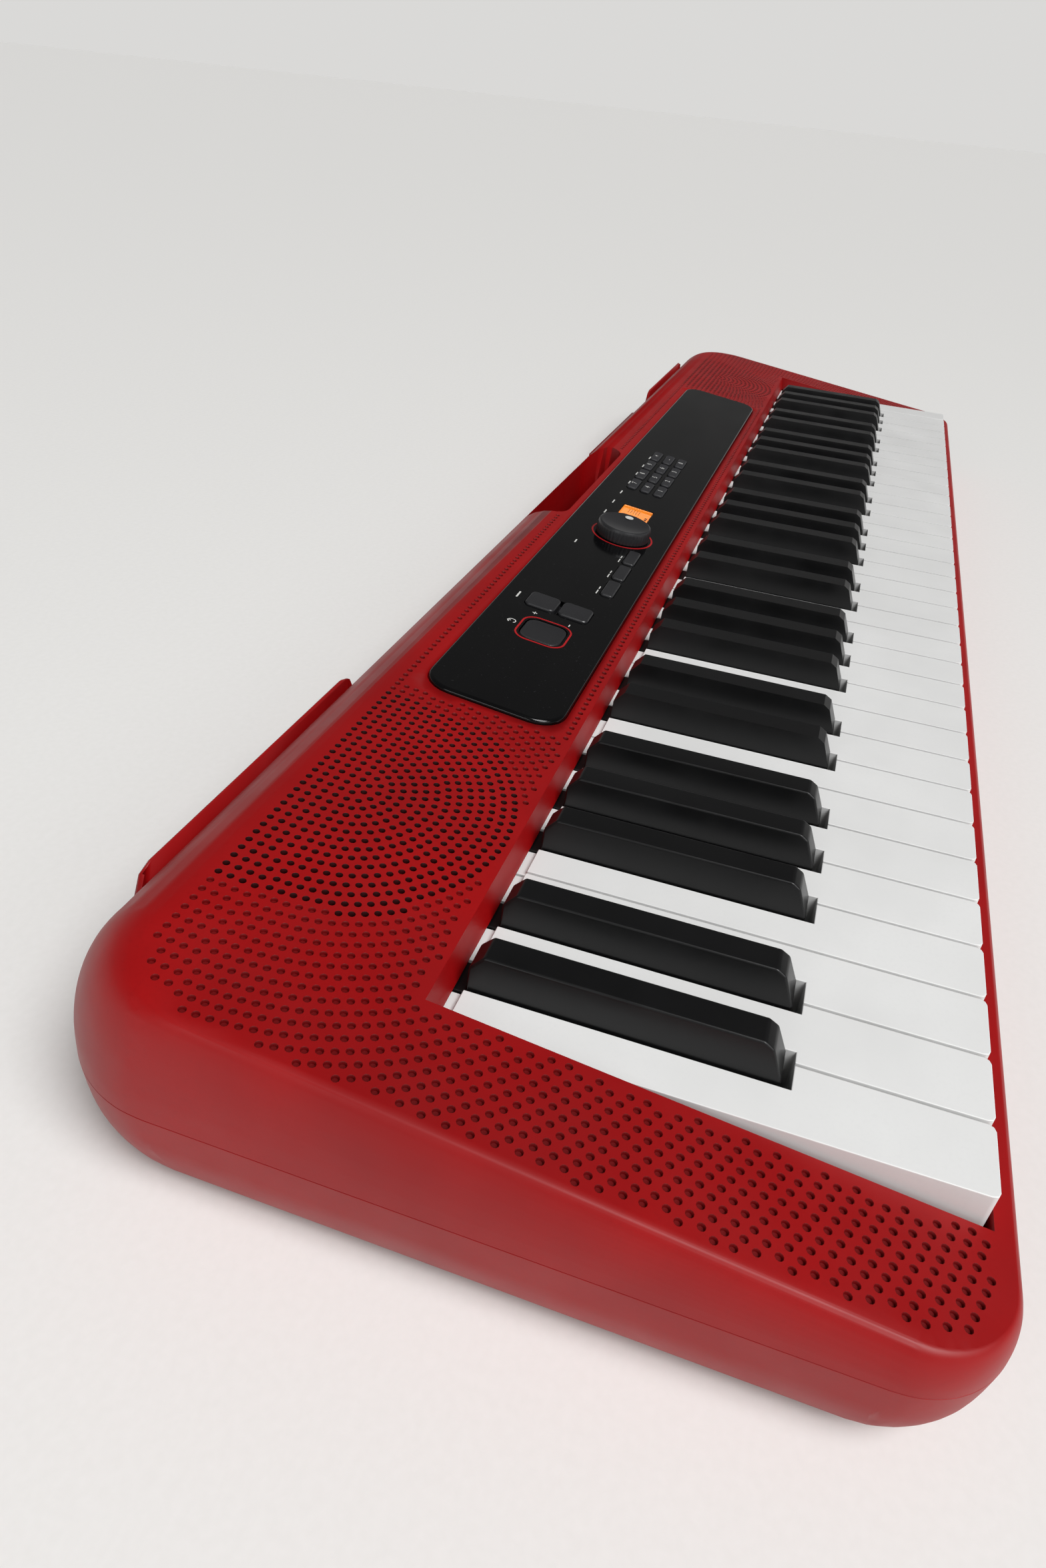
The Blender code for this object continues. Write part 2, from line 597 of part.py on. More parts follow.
def make_battery_parts(cover_material, metal):
    """Cover of the battery bay and the contact plates at the bay's two ends."""
    x_low, x_high, y_low, y_high = BATTERY_BAY
    edge = COVER_LEDGE - RUNNING_GAP
    low = FLOOR_HEIGHT + RUNNING_GAP
    cover = box(x_low - edge, x_high + edge, y_low - edge, y_high + edge, low, low + COVER_THICKNESS)
    origin = Matrix.Translation(((x_low + x_high) / 2, KEY_FRONT_Y + (y_low + y_high) / 2, low))
    cover_piece = make_object("battery_cover", cover, cover_material, origin)
    grip = box(x_high - 0.012, x_high - 0.009, y_low + 0.008, y_high - 0.008, low - 0.001, low + 0.0008)
    move(grip, origin.inverted())
    cut(cover_piece, grip)
    plate_low, plate_high = FLOOR_TOP + 0.0035, FLOOR_TOP + BATTERY_BAY_HEIGHT - 0.002
    for name, x, side in (("battery_contact_bass", x_low, 1), ("battery_contact_treble", x_high, -1)):
        near, far = sorted((x + side * RUNNING_GAP, x + side * (RUNNING_GAP + 0.0006)))
        plate = make_object(name, box(near, far, y_low + 0.003, y_high - 0.003, plate_low, plate_high), metal)
        for y in (y_low + 0.25 * (y_high - y_low), y_low + 0.75 * (y_high - y_low)):
            height = (plate_low + plate_high) / 2
            rings = []
            for reach, radius in ((0.0005, 0.0045), (0.0030, 0.0036), (0.0055, 0.0028)):
                ring = circle(y, height, radius, 10)
                rings.append([(x + side * reach, py, pz) for py, pz in ring])
            fuse(plate, from_key_fronts(build_mesh(rings)))


def make_feet(material):
    """Rubber feet stuck under the four corners."""
    for row, y in zip(("front", "rear"), FOOT_ROWS):
        for end, side in (("bass", -1), ("treble", 1)):
            rings = []
            for z, radius in ((0.0, FOOT_RADIUS - 0.0012), (0.0010, FOOT_RADIUS), (FLOOR_HEIGHT - RUNNING_GAP, FOOT_RADIUS)):
                rings.append([(px, py, z) for px, py in circle(side * FOOT_X, y, radius, 20)])
            make_object(f"foot_{row}_{end}", from_key_fronts(build_mesh(rings)), material)


def panel_openings():
    """Outlines of every opening in the control panel."""
    outlines = []
    x, v, width, depth = POWER_BUTTON
    outlines.append(rounded_box(x, v, width + 2 * BUTTON_GAP, depth + 2 * BUTTON_GAP, 0.0052))
    x, v, width, depth = VOLUME_BUTTONS
    outlines.append(rounded_box(x, v, width + 2 * BUTTON_GAP, VOLUME_SPACING + depth + 2 * BUTTON_GAP, 0.0028))
    x, v, width, depth = FUNCTION_BUTTONS
    for i in range(FUNCTION_COUNT):
        outlines.append(rounded_box(x + i * FUNCTION_PITCH, v, width + 2 * BUTTON_GAP, depth + 2 * BUTTON_GAP, 0.0016))
    x, v, width, depth = DISPLAY_WINDOW
    outlines.append(rounded_box(x, v, width + 2 * PANEL_GAP, depth + 2 * PANEL_GAP, 0.0012))
    outlines.append(circle(*DIAL_CENTRE, SHAFT_RADIUS + 2 * BUTTON_GAP, 16))
    for x, v in keypad_places():
        outlines.append(rounded_box(x, v, KEYPAD_KEY[0] + 2 * BUTTON_GAP, KEYPAD_KEY[1] + 2 * BUTTON_GAP, 0.0014))
    return outlines


def rounded_box(x, y, width, depth, radius, steps=3):
    """A rounded rectangle about its centre."""
    return rounded_rectangle(x - width / 2, x + width / 2, y - depth / 2, y + depth / 2, radius, radius, steps)


def keypad_places():
    """Centres of the number keys."""
    places = []
    for row in range(KEYPAD_ROWS):
        for column in range(KEYPAD_COLUMNS):
            x = KEYPAD_CENTRE[0] + (column - (KEYPAD_COLUMNS - 1) / 2) * KEYPAD_PITCH[0]
            v = KEYPAD_CENTRE[1] + (row - (KEYPAD_ROWS - 1) / 2) * KEYPAD_PITCH[1]
            places.append((x, v))
    return places


def make_control_panel(material):
    """Gloss panel with a rounded edge, its openings, and posts under it for the circuit board."""
    half = PANEL_LENGTH / 2
    low = PANEL_RISE - PANEL_THICKNESS
    levels = [(low, 0.0)]
    for degrees in (0, 22.5, 45, 67.5, 90):
        angle = math.radians(degrees)
        levels.append((PANEL_RISE - PANEL_EDGE * (1 - math.sin(angle)), PANEL_EDGE * (1 - math.cos(angle))))
    rings = []
    for z, inset in levels:
        outline = rounded_rectangle(-half + inset, half - inset, PANEL_FRONT + inset, PANEL_REAR - inset,
                                    PANEL_RADIUS - inset, PANEL_RADIUS - inset, 6)
        rings.append([(x, y, z) for x, y in outline])
    panel = make_object("control_panel", on_deck(build_mesh(rings)), material)
    cut(panel, *[on_deck(prism(outline, low - 0.01, PANEL_RISE + 0.01)) for outline in panel_openings()])
    for x in (-half + END_POST_INSET, *INNER_POSTS, half - END_POST_INSET):
        for v in (PANEL_FRONT + POST_INSET, PANEL_REAR - POST_INSET):
            fuse(panel, on_deck(prism(circle(x, v, POST_RADIUS, 8), -BOARD_DEPTH + RUNNING_GAP, low + 0.001)))
    return panel


def button_solid(x, v, width, depth, radius, rise, dish=0.0):
    """A button cap with a flange under the panel and a stem down to its switch."""
    low = PANEL_RISE - PANEL_THICKNESS - RUNNING_GAP
    top = PANEL_RISE + rise
    flange = BUTTON_FLANGE
    spec = [
        (-BOARD_DEPTH + BUTTON_TRAVEL + 2 * RUNNING_GAP, -0.32 * width, -0.26 * depth, 0.5),
        (low - 0.0010, -0.32 * width, -0.26 * depth, 0.5),
        (low - 0.0010, flange, flange, 1.0),
        (low, flange, flange, 1.0),
        (low, 0.0, 0.0, 1.0),
        (top - BUTTON_EDGE, 0.0, 0.0, 1.0),
        (top, -BUTTON_EDGE, -BUTTON_EDGE, 0.8),
    ]
    if dish:
        spec.append((top - dish, -0.0022, -0.0022, 0.6))
    rings = []
    for z, grow_x, grow_y, share in spec:
        outline = rounded_box(x, v, width + 2 * grow_x, depth + 2 * grow_y,
                              min(radius * share, width / 2 + grow_x - 0.0002, depth / 2 + grow_y - 0.0002))
        rings.append([(px, py, z) for px, py in outline])
    return on_deck(build_mesh(rings))


def deck_origin(x, v, height=0.0):
    return DECK_FRAME @ Matrix.Translation((x, v, height))


def make_buttons(gloss, soft):
    """Power, volume and function buttons, and the mat of number keys."""
    x, v, width, depth = POWER_BUTTON
    make_object("power_button", button_solid(x, v, width, depth, 0.0048, 0.0, POWER_DISH), gloss, deck_origin(x, v))
    x, v, width, depth = VOLUME_BUTTONS
    for name, side in (("volume_down_button", -1), ("volume_up_button", 1)):
        place = v + side * VOLUME_SPACING / 2
        solid = button_solid(x, place, width, depth, 0.0024, BUTTON_RISE)
        make_object(name, clip_flange(solid, x, v, side), gloss, deck_origin(x, place))
    x, v, width, depth = FUNCTION_BUTTONS
    for i in range(FUNCTION_COUNT):
        place = x + i * FUNCTION_PITCH
        make_object(f"function_button_{i + 1}", button_solid(place, v, width, depth, 0.0014, BUTTON_RISE), gloss,
                    deck_origin(place, v))
    low = PANEL_RISE - PANEL_THICKNESS - RUNNING_GAP
    mat_half = (KEYPAD_COLUMNS * KEYPAD_PITCH[0] / 2, KEYPAD_ROWS * KEYPAD_PITCH[1] / 2)
    mat = prism(rectangle(KEYPAD_CENTRE[0] - mat_half[0], KEYPAD_CENTRE[0] + mat_half[0],
                          KEYPAD_CENTRE[1] - mat_half[1], KEYPAD_CENTRE[1] + mat_half[1]), low - 0.0016, low)
    keypad = make_object("number_keypad", on_deck(mat), soft)
    caps = []
    for x, v in keypad_places():
        rings = []
        for z, inset in ((low - 0.0008, 0.0), (PANEL_RISE + 0.0005, 0.0), (PANEL_RISE + 0.0010, 0.0006)):
            outline = rounded_box(x, v, KEYPAD_KEY[0] - 2 * inset, KEYPAD_KEY[1] - 2 * inset, 0.0012)
            rings.append([(px, py, z) for px, py in outline])
        caps.append(on_deck(build_mesh(rings)))
    combine(keypad, joined(caps), "UNION")


def clip_flange(solid, x, v, side):
    """Trim a volume button where its flange would run into the other one."""
    middle = v + side * (VOLUME_SPACING - VOLUME_BUTTONS[3]) / 4
    plane = DECK_FRAME @ Matrix.Translation((x, middle, 0))
    normal = DECK_FRAME.to_3x3().col[1] * -side
    bmesh.ops.bisect_plane(solid, geom=solid.verts[:] + solid.edges[:] + solid.faces[:], plane_co=plane.translation,
                           plane_no=normal, clear_outer=True)
    bmesh.ops.holes_fill(solid, edges=[edge for edge in solid.edges if edge.is_boundary])
    bmesh.ops.recalc_face_normals(solid, faces=solid.faces)
    return solid


def turned(profile, x, v, sides):
    """A round solid about the deck's normal, from (radius, height) pairs."""
    return on_deck(build_mesh([[(px, py, z) for px, py in circle(x, v, radius, sides)] for radius, z in profile]))


def make_dial(knob_material, metal):
    """Selector dial, and the encoder that carries it."""
    x, v = DIAL_CENTRE
    low = PANEL_RISE + RUNNING_GAP
    top = PANEL_RISE + DIAL_HEIGHT
    radius = DIAL_RADIUS
    bore = SHAFT_RADIUS + RUNNING_GAP
    shaft_top = top - 0.0030
    profile = [(bore, shaft_top + RUNNING_GAP), (bore, low), (radius, low), (radius, top - 0.0016),
               (radius - 0.0005, top - 0.0005), (radius - 0.0016, top), (radius - 0.0030, top - 0.0004),
               (0.0040, top - 0.0008)]
    make_object("dial_knob", turned(profile, x, v, 32), knob_material, deck_origin(x, v))
    seat = -BOARD_DEPTH + RUNNING_GAP
    encoder = prism(rounded_box(x, v, 0.0120, 0.0120, 0.0010), seat, seat + 0.0050)
    shaft = [(SHAFT_RADIUS, seat + 0.0040), (SHAFT_RADIUS, shaft_top)]
    fuse(make_object("dial_encoder", on_deck(encoder), metal), turned(shaft, x, v, 16))


def make_display(glass, lit):
    """Clear window in the panel and the lit display under it."""
    x, v, width, depth = DISPLAY_WINDOW
    low = PANEL_RISE - PANEL_THICKNESS - RUNNING_GAP
    rings = []
    for z, grow in ((low - 0.0008, 0.0020), (low, 0.0020), (low, 0.0), (PANEL_RISE - 0.0002, 0.0)):
        rings.append([(px, py, z) for px, py in rounded_box(x, v, width + 2 * grow, depth + 2 * grow, 0.0010)])
    make_object("display_window", on_deck(build_mesh(rings)), glass)
    top = low - 0.0008 - RUNNING_GAP
    module = prism(rounded_box(x, v, width + 0.0040, depth + 0.0050, 0.0008), -BOARD_DEPTH + RUNNING_GAP, top)
    make_object("display_module", on_deck(module), lit)


def make_boards(board_material):
    """Circuit board under the panel, main board, and the contact board under the keys."""
    half = PANEL_LENGTH / 2 - PANEL_LEDGE
    outline = rectangle(-half + 0.004, half - 0.004, PANEL_FRONT + PANEL_LEDGE, PANEL_REAR - PANEL_LEDGE - 0.0015)
    make_object("panel_board", on_deck(prism(outline, -BOARD_DEPTH - BOARD_THICKNESS, -BOARD_DEPTH)), board_material)
    x_low, x_high, y_low, y_high = MAIN_BOARD
    make_object("main_board", box(x_low, x_high, y_low, y_high, MAIN_BOARD_HEIGHT, MAIN_BOARD_HEIGHT + BOARD_THICKNESS),
                board_material)
    start, end, height = CONTACT_SHELF
    half = -KEYS_LEFT_X - KEY_GAP
    make_object("key_contact_board", box(-half, half, start + 0.001, end - 0.001, height + RUNNING_GAP,
                                         height + RUNNING_GAP + BOARD_THICKNESS), board_material)


def make_sockets(dark):
    """Phones, pedal, supply and data sockets behind the rear wall."""
    nose_end = SOCKET_BAY_FLOOR - 0.0004
    body_end = SOCKET_BAY_FLOOR - SOCKET_WALL - RUNNING_GAP
    body_start = body_end - SOCKET_BODY_DEPTH
    board_top = MAIN_BOARD_HEIGHT + BOARD_THICKNESS + RUNNING_GAP
    for name, x, radius, bore in (("phones_socket", PHONES_X, PHONES_RADIUS, PHONES_BORE),
                                  ("pedal_socket", PEDAL_X, PHONES_RADIUS, PHONES_BORE),
                                  ("supply_socket", DC_X, DC_RADIUS, DC_BORE)):
        body = box(x - 0.0065, x + 0.0065, body_start, body_end, board_top, SOCKET_HEIGHT + 0.0044)
        socket = make_object(name, body, dark)
        fuse(socket, tube(x, radius - RUNNING_GAP, body_end - 0.002, nose_end))
        cut(socket, tube(x, bore, body_start + 0.0015, nose_end + 0.01))
    height = SOCKET_HEIGHT
    width, depth = USB_SIZE
    body = box(USB_X - 0.0060, USB_X + 0.0060, body_start, body_end, board_top, height + 0.0044)
    socket = make_object("data_socket", body, dark)
    gap = RUNNING_GAP
    fuse(socket, box(USB_X - width / 2 + gap, USB_X + width / 2 - gap, body_end - 0.002, nose_end,
                     height - depth / 2 + gap, height + depth / 2 - gap))
    cut(socket, box(USB_X - width / 2 + 0.0011, USB_X + width / 2 - 0.0011, body_start + 0.004, nose_end + 0.01,
                    height - depth / 2 + 0.0011, height + depth / 2 - 0.0011))


def tube(x, radius, y_low, y_high):
    """A round solid along Y at the height of the sockets."""
    ring = circle(x, SOCKET_HEIGHT, radius, 16)
    return from_key_fronts(build_mesh([[(px, y, pz) for px, pz in ring] for y in (y_low, y_high)]))


def make_speakers(material):
    """Oval speakers under the two ends of the deck."""
    rx, ry = SPEAKER_HALF
    magnet = MAGNET_RADIUS
    depth = SPEAKER_DEPTH
    spec = [(0.0090, 0.0085, -0.0055), (rx - 0.0150, ry - 0.0085, -0.0015), (rx - 0.0075, ry - 0.0045, 0.0),
            (rx, ry, 0.0), (rx, ry, -0.0018), (rx - 0.0080, ry - 0.0045, -0.0018), (0.0230, 0.0140, -0.0085),
            (magnet, magnet, -0.0085), (magnet, magnet, -depth + 0.001), (magnet - 0.001, magnet - 0.001, -depth)]
    sides = 24
    for name, side in (("speaker_bass", -1), ("speaker_treble", 1)):
        rings = []
        for half_x, half_y, z in spec:
            rings.append([(half_x * math.cos(2 * math.pi * i / sides), half_y * math.sin(2 * math.pi * i / sides), z)
                          for i in range(sides)])
        origin = deck_origin(side * SPEAKER_X, SPEAKER_Y / math.cos(DECK_TILT), -WALL - RUNNING_GAP)
        make_object(name, move(build_mesh(rings), origin), material, origin)


def chassis_profile():
    """Section of the key chassis, from its front foot over its top and back under it."""
    wall = CHASSIS_WALL
    foot = FLOOR_TOP + RUNNING_GAP
    start, end, shelf = CONTACT_SHELF
    rail_end = CHASSIS_FRONT + FRONT_RAIL_DEPTH
    tail_floor = PIVOT_HEIGHT - RIDGE_RADIUS - RIDGE_FOOT
    rise = WHITE_LENGTH + 0.0050
    profile = [(CHASSIS_FRONT, foot), (CHASSIS_FRONT, FRONT_RAIL_HEIGHT), (rail_end, FRONT_RAIL_HEIGHT),
               (rail_end, CHASSIS_FLOOR_HEIGHT), (start, CHASSIS_FLOOR_HEIGHT), (start, shelf), (end, shelf),
               (end, CHASSIS_FLOOR_HEIGHT), (rise, CHASSIS_FLOOR_HEIGHT), (rise, tail_floor),
               (PIVOT_FROM_FRONT - RIDGE_RADIUS, tail_floor)]
    for degrees in range(180, -1, -30):
        angle = math.radians(degrees)
        profile.append((PIVOT_FROM_FRONT + RIDGE_RADIUS * math.cos(angle), PIVOT_HEIGHT + RIDGE_RADIUS * math.sin(angle)))
    profile += [(PIVOT_FROM_FRONT + RIDGE_RADIUS, tail_floor), (CHASSIS_REAR, tail_floor), (CHASSIS_REAR, foot),
                (CHASSIS_REAR - wall, foot), (CHASSIS_REAR - wall, tail_floor - wall), (rise + wall, tail_floor - wall),
                (rise + wall, CHASSIS_FLOOR_HEIGHT - wall), (rail_end - wall, CHASSIS_FLOOR_HEIGHT - wall),
                (rail_end - wall, FRONT_RAIL_HEIGHT - wall), (CHASSIS_FRONT + wall, FRONT_RAIL_HEIGHT - wall),
                (CHASSIS_FRONT + wall, foot)]
    return profile


def make_chassis(frame_material, steel, rubber, felt):
    """Chassis under the keys, its hold-down bar, the felt key stop and the rubber contact strip."""
    half = BAY_HALF - CHASSIS_END_GAP
    make_object("key_chassis", from_key_fronts(prism_along_x(chassis_profile(), -half, half)), frame_material)
    low = TAIL_TOP + 2 * RUNNING_GAP
    bar_end = BAR_START + BAR_DEPTH
    bar = make_object("key_hold_down_bar", box(-half, half, BAR_START, bar_end, low, low + BAR_THICKNESS), steel)
    leg_foot = PIVOT_HEIGHT - RIDGE_RADIUS - RIDGE_FOOT + RUNNING_GAP
    leg_width = 0.0022
    for x_low, x_high in ((-half, -half + leg_width), (half - leg_width, half)):
        fuse(bar, box(x_low, x_high, BAR_START, bar_end, leg_foot, low + BAR_THICKNESS / 2))
    stop_low = FRONT_RAIL_HEIGHT + RUNNING_GAP
    inner = -KEYS_LEFT_X - KEY_GAP
    make_object("key_stop_felt", box(-inner, inner, CHASSIS_FRONT + FELT_INSET, CHASSIS_FRONT + FRONT_RAIL_DEPTH - FELT_INSET,
                                     stop_low, stop_low + FELT_THICKNESS), felt)
    start, end, height = CONTACT_SHELF
    low = height + 2 * RUNNING_GAP + BOARD_THICKNESS
    middle = (start + end) / 2
    wide, skirt, top = STRIP_HALF_WIDTH, low + STRIP_SKIRT, low + STRIP_HEIGHT
    strip = [(middle - wide, low), (middle + wide, low), (middle + wide, skirt), (middle + wide / 2, skirt),
             (middle + 0.3 * wide, top), (middle - 0.3 * wide, top), (middle - wide / 2, skirt), (middle - wide, skirt)]
    make_object("contact_rubber_strip", from_key_fronts(prism_along_x(strip, -inner, inner)), rubber)


def white_cuts(letter):
    """Sides of a white key behind the black keys' fronts, from the key's left gap."""
    place, left, right = WHITE_KEYS[letter]
    edges = [KEY_GAP / 2, WHITE_PITCH - KEY_GAP / 2]
    if left is not None:
        edges[0] = BLACK_OFFSETS[left] + NOTCH_WIDTH / 2
    if right is not None:
        edges[1] = WHITE_PITCH + BLACK_OFFSETS[right] - NOTCH_WIDTH / 2
    return edges


def white_outline(cuts, inset):
    """Top view of a white key, moved in by a wall. Its two rear corners of each notch are always there."""
    left, right = KEY_GAP / 2 + inset, WHITE_PITCH - KEY_GAP / 2 - inset
    rear_left, rear_right = cuts[0] + inset, cuts[1] - inset
    radius = max(WHITE_CORNER_RADIUS - inset, 0.0004)
    points = []
    for x, start in ((left + radius, 180), (right - radius, 270)):
        for step in range(3):
            angle = math.radians(start + 45 * step)
            points.append((x + radius * math.cos(angle), inset + radius + radius * math.sin(angle)))
    notch, rear = NOTCH_FRONT - inset, WHITE_LENGTH - inset
    if rear_right < right - 1e-6:
        points += [(right, notch), (rear_right, notch)]
    points += [(rear_right, rear), (rear_left, rear)]
    if rear_left > left + 1e-6:
        points += [(rear_left, notch), (left, notch)]
    return points


def tail_solids(x_low, x_high, x_middle):
    """Shoulder of a key under the casing wall, and the narrow tail that turns on the ridge."""
    top = KEY_TOP_HEIGHT - TAIL_STEP
    start = WHITE_LENGTH - KEY_WALL / 2
    bore = (RIDGE_RADIUS + RUNNING_GAP) / math.cos(math.radians(25))
    shoulder = prism(rectangle(x_low, x_high, start, TAIL_SHOULDER_END), PIVOT_HEIGHT, top)
    profile = [(start + 0.0004, PIVOT_HEIGHT), (PIVOT_FROM_FRONT - bore, PIVOT_HEIGHT)]
    for degrees in (140, 90, 40):
        angle = math.radians(degrees)
        profile.append((PIVOT_FROM_FRONT + bore * math.cos(angle), PIVOT_HEIGHT + bore * math.sin(angle)))
    profile += [(PIVOT_FROM_FRONT + bore, PIVOT_HEIGHT), (TAIL_END, PIVOT_HEIGHT), (TAIL_END, TAIL_TOP),
                (start + 0.0004, TAIL_TOP)]
    tail = prism_along_x(profile, x_middle - TAIL_WIDTH / 2, x_middle + TAIL_WIDTH / 2)
    return shoulder, tail


def make_white_key(name, cuts, material):
    """One white key, laid out from its left gap and from the key fronts."""
    outer = white_outline(cuts, 0.0)
    inner = white_outline(cuts, KEY_WALL)
    low, high = KEY_TOP_HEIGHT - WHITE_SKIRT, KEY_TOP_HEIGHT
    rings = [[(x, y, high) for x, y in outer], [(x, y, low) for x, y in outer],
             [(x, y, low) for x, y in inner], [(x, y, high - KEY_TOP_WALL) for x, y in inner]]
    key = make_object(name, build_mesh(rings), material)
    fuse(key, *tail_solids(cuts[0], cuts[1], (cuts[0] + cuts[1]) / 2))
    return key


def make_black_key(name, material):
    """One black key about its own middle, laid out from the key fronts."""
    base, top = BLACK_BASE_WIDTH / 2, BLACK_TOP_WIDTH / 2
    low = KEY_TOP_HEIGHT - BLACK_SKIRT
    rear = WHITE_LENGTH - 0.0004
    stations = [(BLACK_FRONT, 0.06), (BLACK_FRONT + BLACK_SLOPE, 0.84), (BLACK_FRONT + BLACK_NOSE, 1.0),
                (rear - BLACK_SHOULDER, 1.0), (rear, 0.60)]
    rings = []
    for y, share in stations:
        z = KEY_TOP_HEIGHT + BLACK_RISE * share
        half = base + (top - base) * share
        rings.append([(base, y, low), (base, y, KEY_TOP_HEIGHT), (half, y, z), (-half, y, z),
                      (-base, y, KEY_TOP_HEIGHT), (-base, y, low)])
    key = make_object(name, build_mesh(rings), material)
    wall = KEY_WALL
    pocket = prism(rectangle(-base + wall, base - wall, BLACK_FRONT + wall, rear - wall), low - 0.01, KEY_TOP_HEIGHT + 0.001)
    cut(key, pocket)
    fuse(key, *tail_solids(-base, base, 0.0))
    return key


def key_place(octave, letter):
    """Distance of a key's own zero from the left end of the keys."""
    first = octave * WHITES_PER_OCTAVE
    if letter in BLACK_KEYS:
        return (first + BLACK_KEYS[letter]) * WHITE_PITCH + BLACK_OFFSETS[letter]
    return (first + WHITE_KEYS[letter][0]) * WHITE_PITCH


def set_on_pivot(piece, x, pivot_x):
    """Place a key at x with its origin on the pivot line, at pivot_x."""
    pivot = Matrix.Translation((pivot_x - x, PIVOT_FROM_FRONT, PIVOT_HEIGHT))
    piece.data.transform(pivot.inverted())
    piece.location = (pivot_x, KEY_FRONT_Y + PIVOT_FROM_FRONT, PIVOT_HEIGHT)


def make_comb(name, letters, rail, patterns, material):
    """Keys of one octave that are moulded together on a rail, laid out from the octave's left end."""
    comb = None
    for letter in letters:
        mesh = patterns[letter].data.copy()
        mesh.transform(Matrix.Translation((key_place(0, letter), 0, 0)))
        if comb is None:
            comb = bpy.data.objects.new(name, mesh)
            bpy.context.collection.objects.link(comb)
        else:
            solid = bmesh.new()
            solid.from_mesh(mesh)
            bpy.data.meshes.remove(mesh)
            combine(comb, solid, "UNION")
    start = RAIL_STARTS[rail]
    low = TAIL_TOP + RAIL_CLEARANCE
    places = []
    for letter in letters:
        middle = key_place(0, letter)
        if letter in WHITE_KEYS:
            middle += sum(white_cuts(letter)) / 2
        places.append(middle)
        combine(comb, prism(rectangle(middle - TAIL_WIDTH / 2 + 0.0006, middle + TAIL_WIDTH / 2 - 0.0006, start + 0.0004,
                                      start + RAIL_DEPTH - 0.0004), TAIL_TOP - 0.001, low + RAIL_THICKNESS / 2), "UNION")
    combine(comb, prism(rectangle(places[0] - TAIL_WIDTH / 2, places[-1] + TAIL_WIDTH / 2, start, start + RAIL_DEPTH),
                        low, low + RAIL_THICKNESS), "UNION")
    comb.data.materials.clear()
    comb.data.materials.append(material)
    return comb


def make_keys(white, black):
    """All keys: single pieces in the lowest octave, moulded combs in the others, and the top C."""
    patterns = {letter: make_white_key(f"pattern_{letter}", white_cuts(letter), white) for letter in WHITE_KEYS}
    black_pattern = make_black_key("pattern_black", black)
    for letter in BLACK_KEYS:
        patterns[letter] = black_pattern
    comb_patterns = {}
    for label, (letters, rail) in COMBS.items():
        comb_patterns[label] = make_comb(f"pattern_{label}", letters, rail, patterns, black if label == "black" else white)
    for octave in range(OCTAVES):
        if octave < SEPARATE_OCTAVES:
            for letter, pattern in patterns.items():
                key = bpy.data.objects.new(f"key_{octave + 1}_{letter}", pattern.data.copy())
                bpy.context.collection.objects.link(key)
                x = KEYS_LEFT_X + key_place(octave, letter)
                middle = 0.0 if letter in BLACK_KEYS else WHITE_PITCH / 2
                set_on_pivot(key, x, x + middle)
        else:
            for label, pattern in comb_patterns.items():
                comb = bpy.data.objects.new(f"keys_{octave + 1}_{label}", pattern.data.copy())
                bpy.context.collection.objects.link(comb)
                x = KEYS_LEFT_X + octave * WHITES_PER_OCTAVE * WHITE_PITCH
                set_on_pivot(comb, x, x + WHITES_PER_OCTAVE * WHITE_PITCH / 2)
    top = make_white_key("key_top_c", [KEY_GAP / 2, WHITE_PITCH - KEY_GAP / 2], white)
    x = KEYS_LEFT_X + OCTAVES * WHITES_PER_OCTAVE * WHITE_PITCH
    set_on_pivot(top, x, x + WHITE_PITCH / 2)
    for pattern in {*patterns.values(), *comb_patterns.values()}:
        bpy.data.objects.remove(pattern)


def main():
    for thing in list(bpy.context.scene.objects):
        bpy.data.objects.remove(thing)
    red = make_material("red_abs", (0.42, 0.012, 0.014), 0.38)
    white = make_material("white_key_resin", (0.86, 0.86, 0.84), 0.35)
    black = make_material("black_key_resin", (0.018, 0.018, 0.019), 0.42)
    gloss = make_material("gloss_black_panel", (0.006, 0.006, 0.007), 0.08)
    soft = make_material("grey_silicone", (0.06, 0.06, 0.065), 0.6)
    rubber = make_material("black_rubber", (0.02, 0.02, 0.02), 0.8)
    board = make_material("circuit_board", (0.03, 0.12, 0.05), 0.5)
    steel = make_material("zinc_plated_steel", (0.6, 0.6, 0.62), 0.35, 1.0)
    frame = make_material("grey_abs", (0.16, 0.16, 0.17), 0.5)
    dark = make_material("socket_nylon", (0.03, 0.03, 0.03), 0.45)
    felt = make_material("red_felt", (0.30, 0.03, 0.03), 0.95)
    glass = make_material("clear_window", (0.05, 0.05, 0.05), 0.05)
    lit = make_material("lit_display", (0.95, 0.42, 0.03), 0.4)
    make_upper_case(red)
    make_lower_case(red)
    make_battery_parts(red, steel)
    make_feet(rubber)
    make_control_panel(gloss)
    make_buttons(gloss, soft)
    make_dial(gloss, steel)
    make_display(glass, lit)
    make_boards(board)
    make_sockets(dark)
    make_speakers(dark)
    make_chassis(frame, steel, rubber, felt)
    make_keys(white, black)


main()
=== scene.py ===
"""Looks of a portable keyboard: finishes, rounded edges, perforated deck, marks and studio.

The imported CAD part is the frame. Every length here is in metres in the frame's own axes: X from the bass
end to the treble end, Y from the player to the rear, Z up. Places on the sloping deck are given as (x, v, w),
with v up the slope from the key fronts and w along the deck's normal.
"""
from __future__ import annotations

import json
import logging
import math
from dataclasses import dataclass, field
from enum import Enum
from typing import Iterable, Sequence

import bmesh
import bpy
import numpy as np
from mathutils import Matrix, Vector
from mathutils.geometry import delaunay_2d_cdt

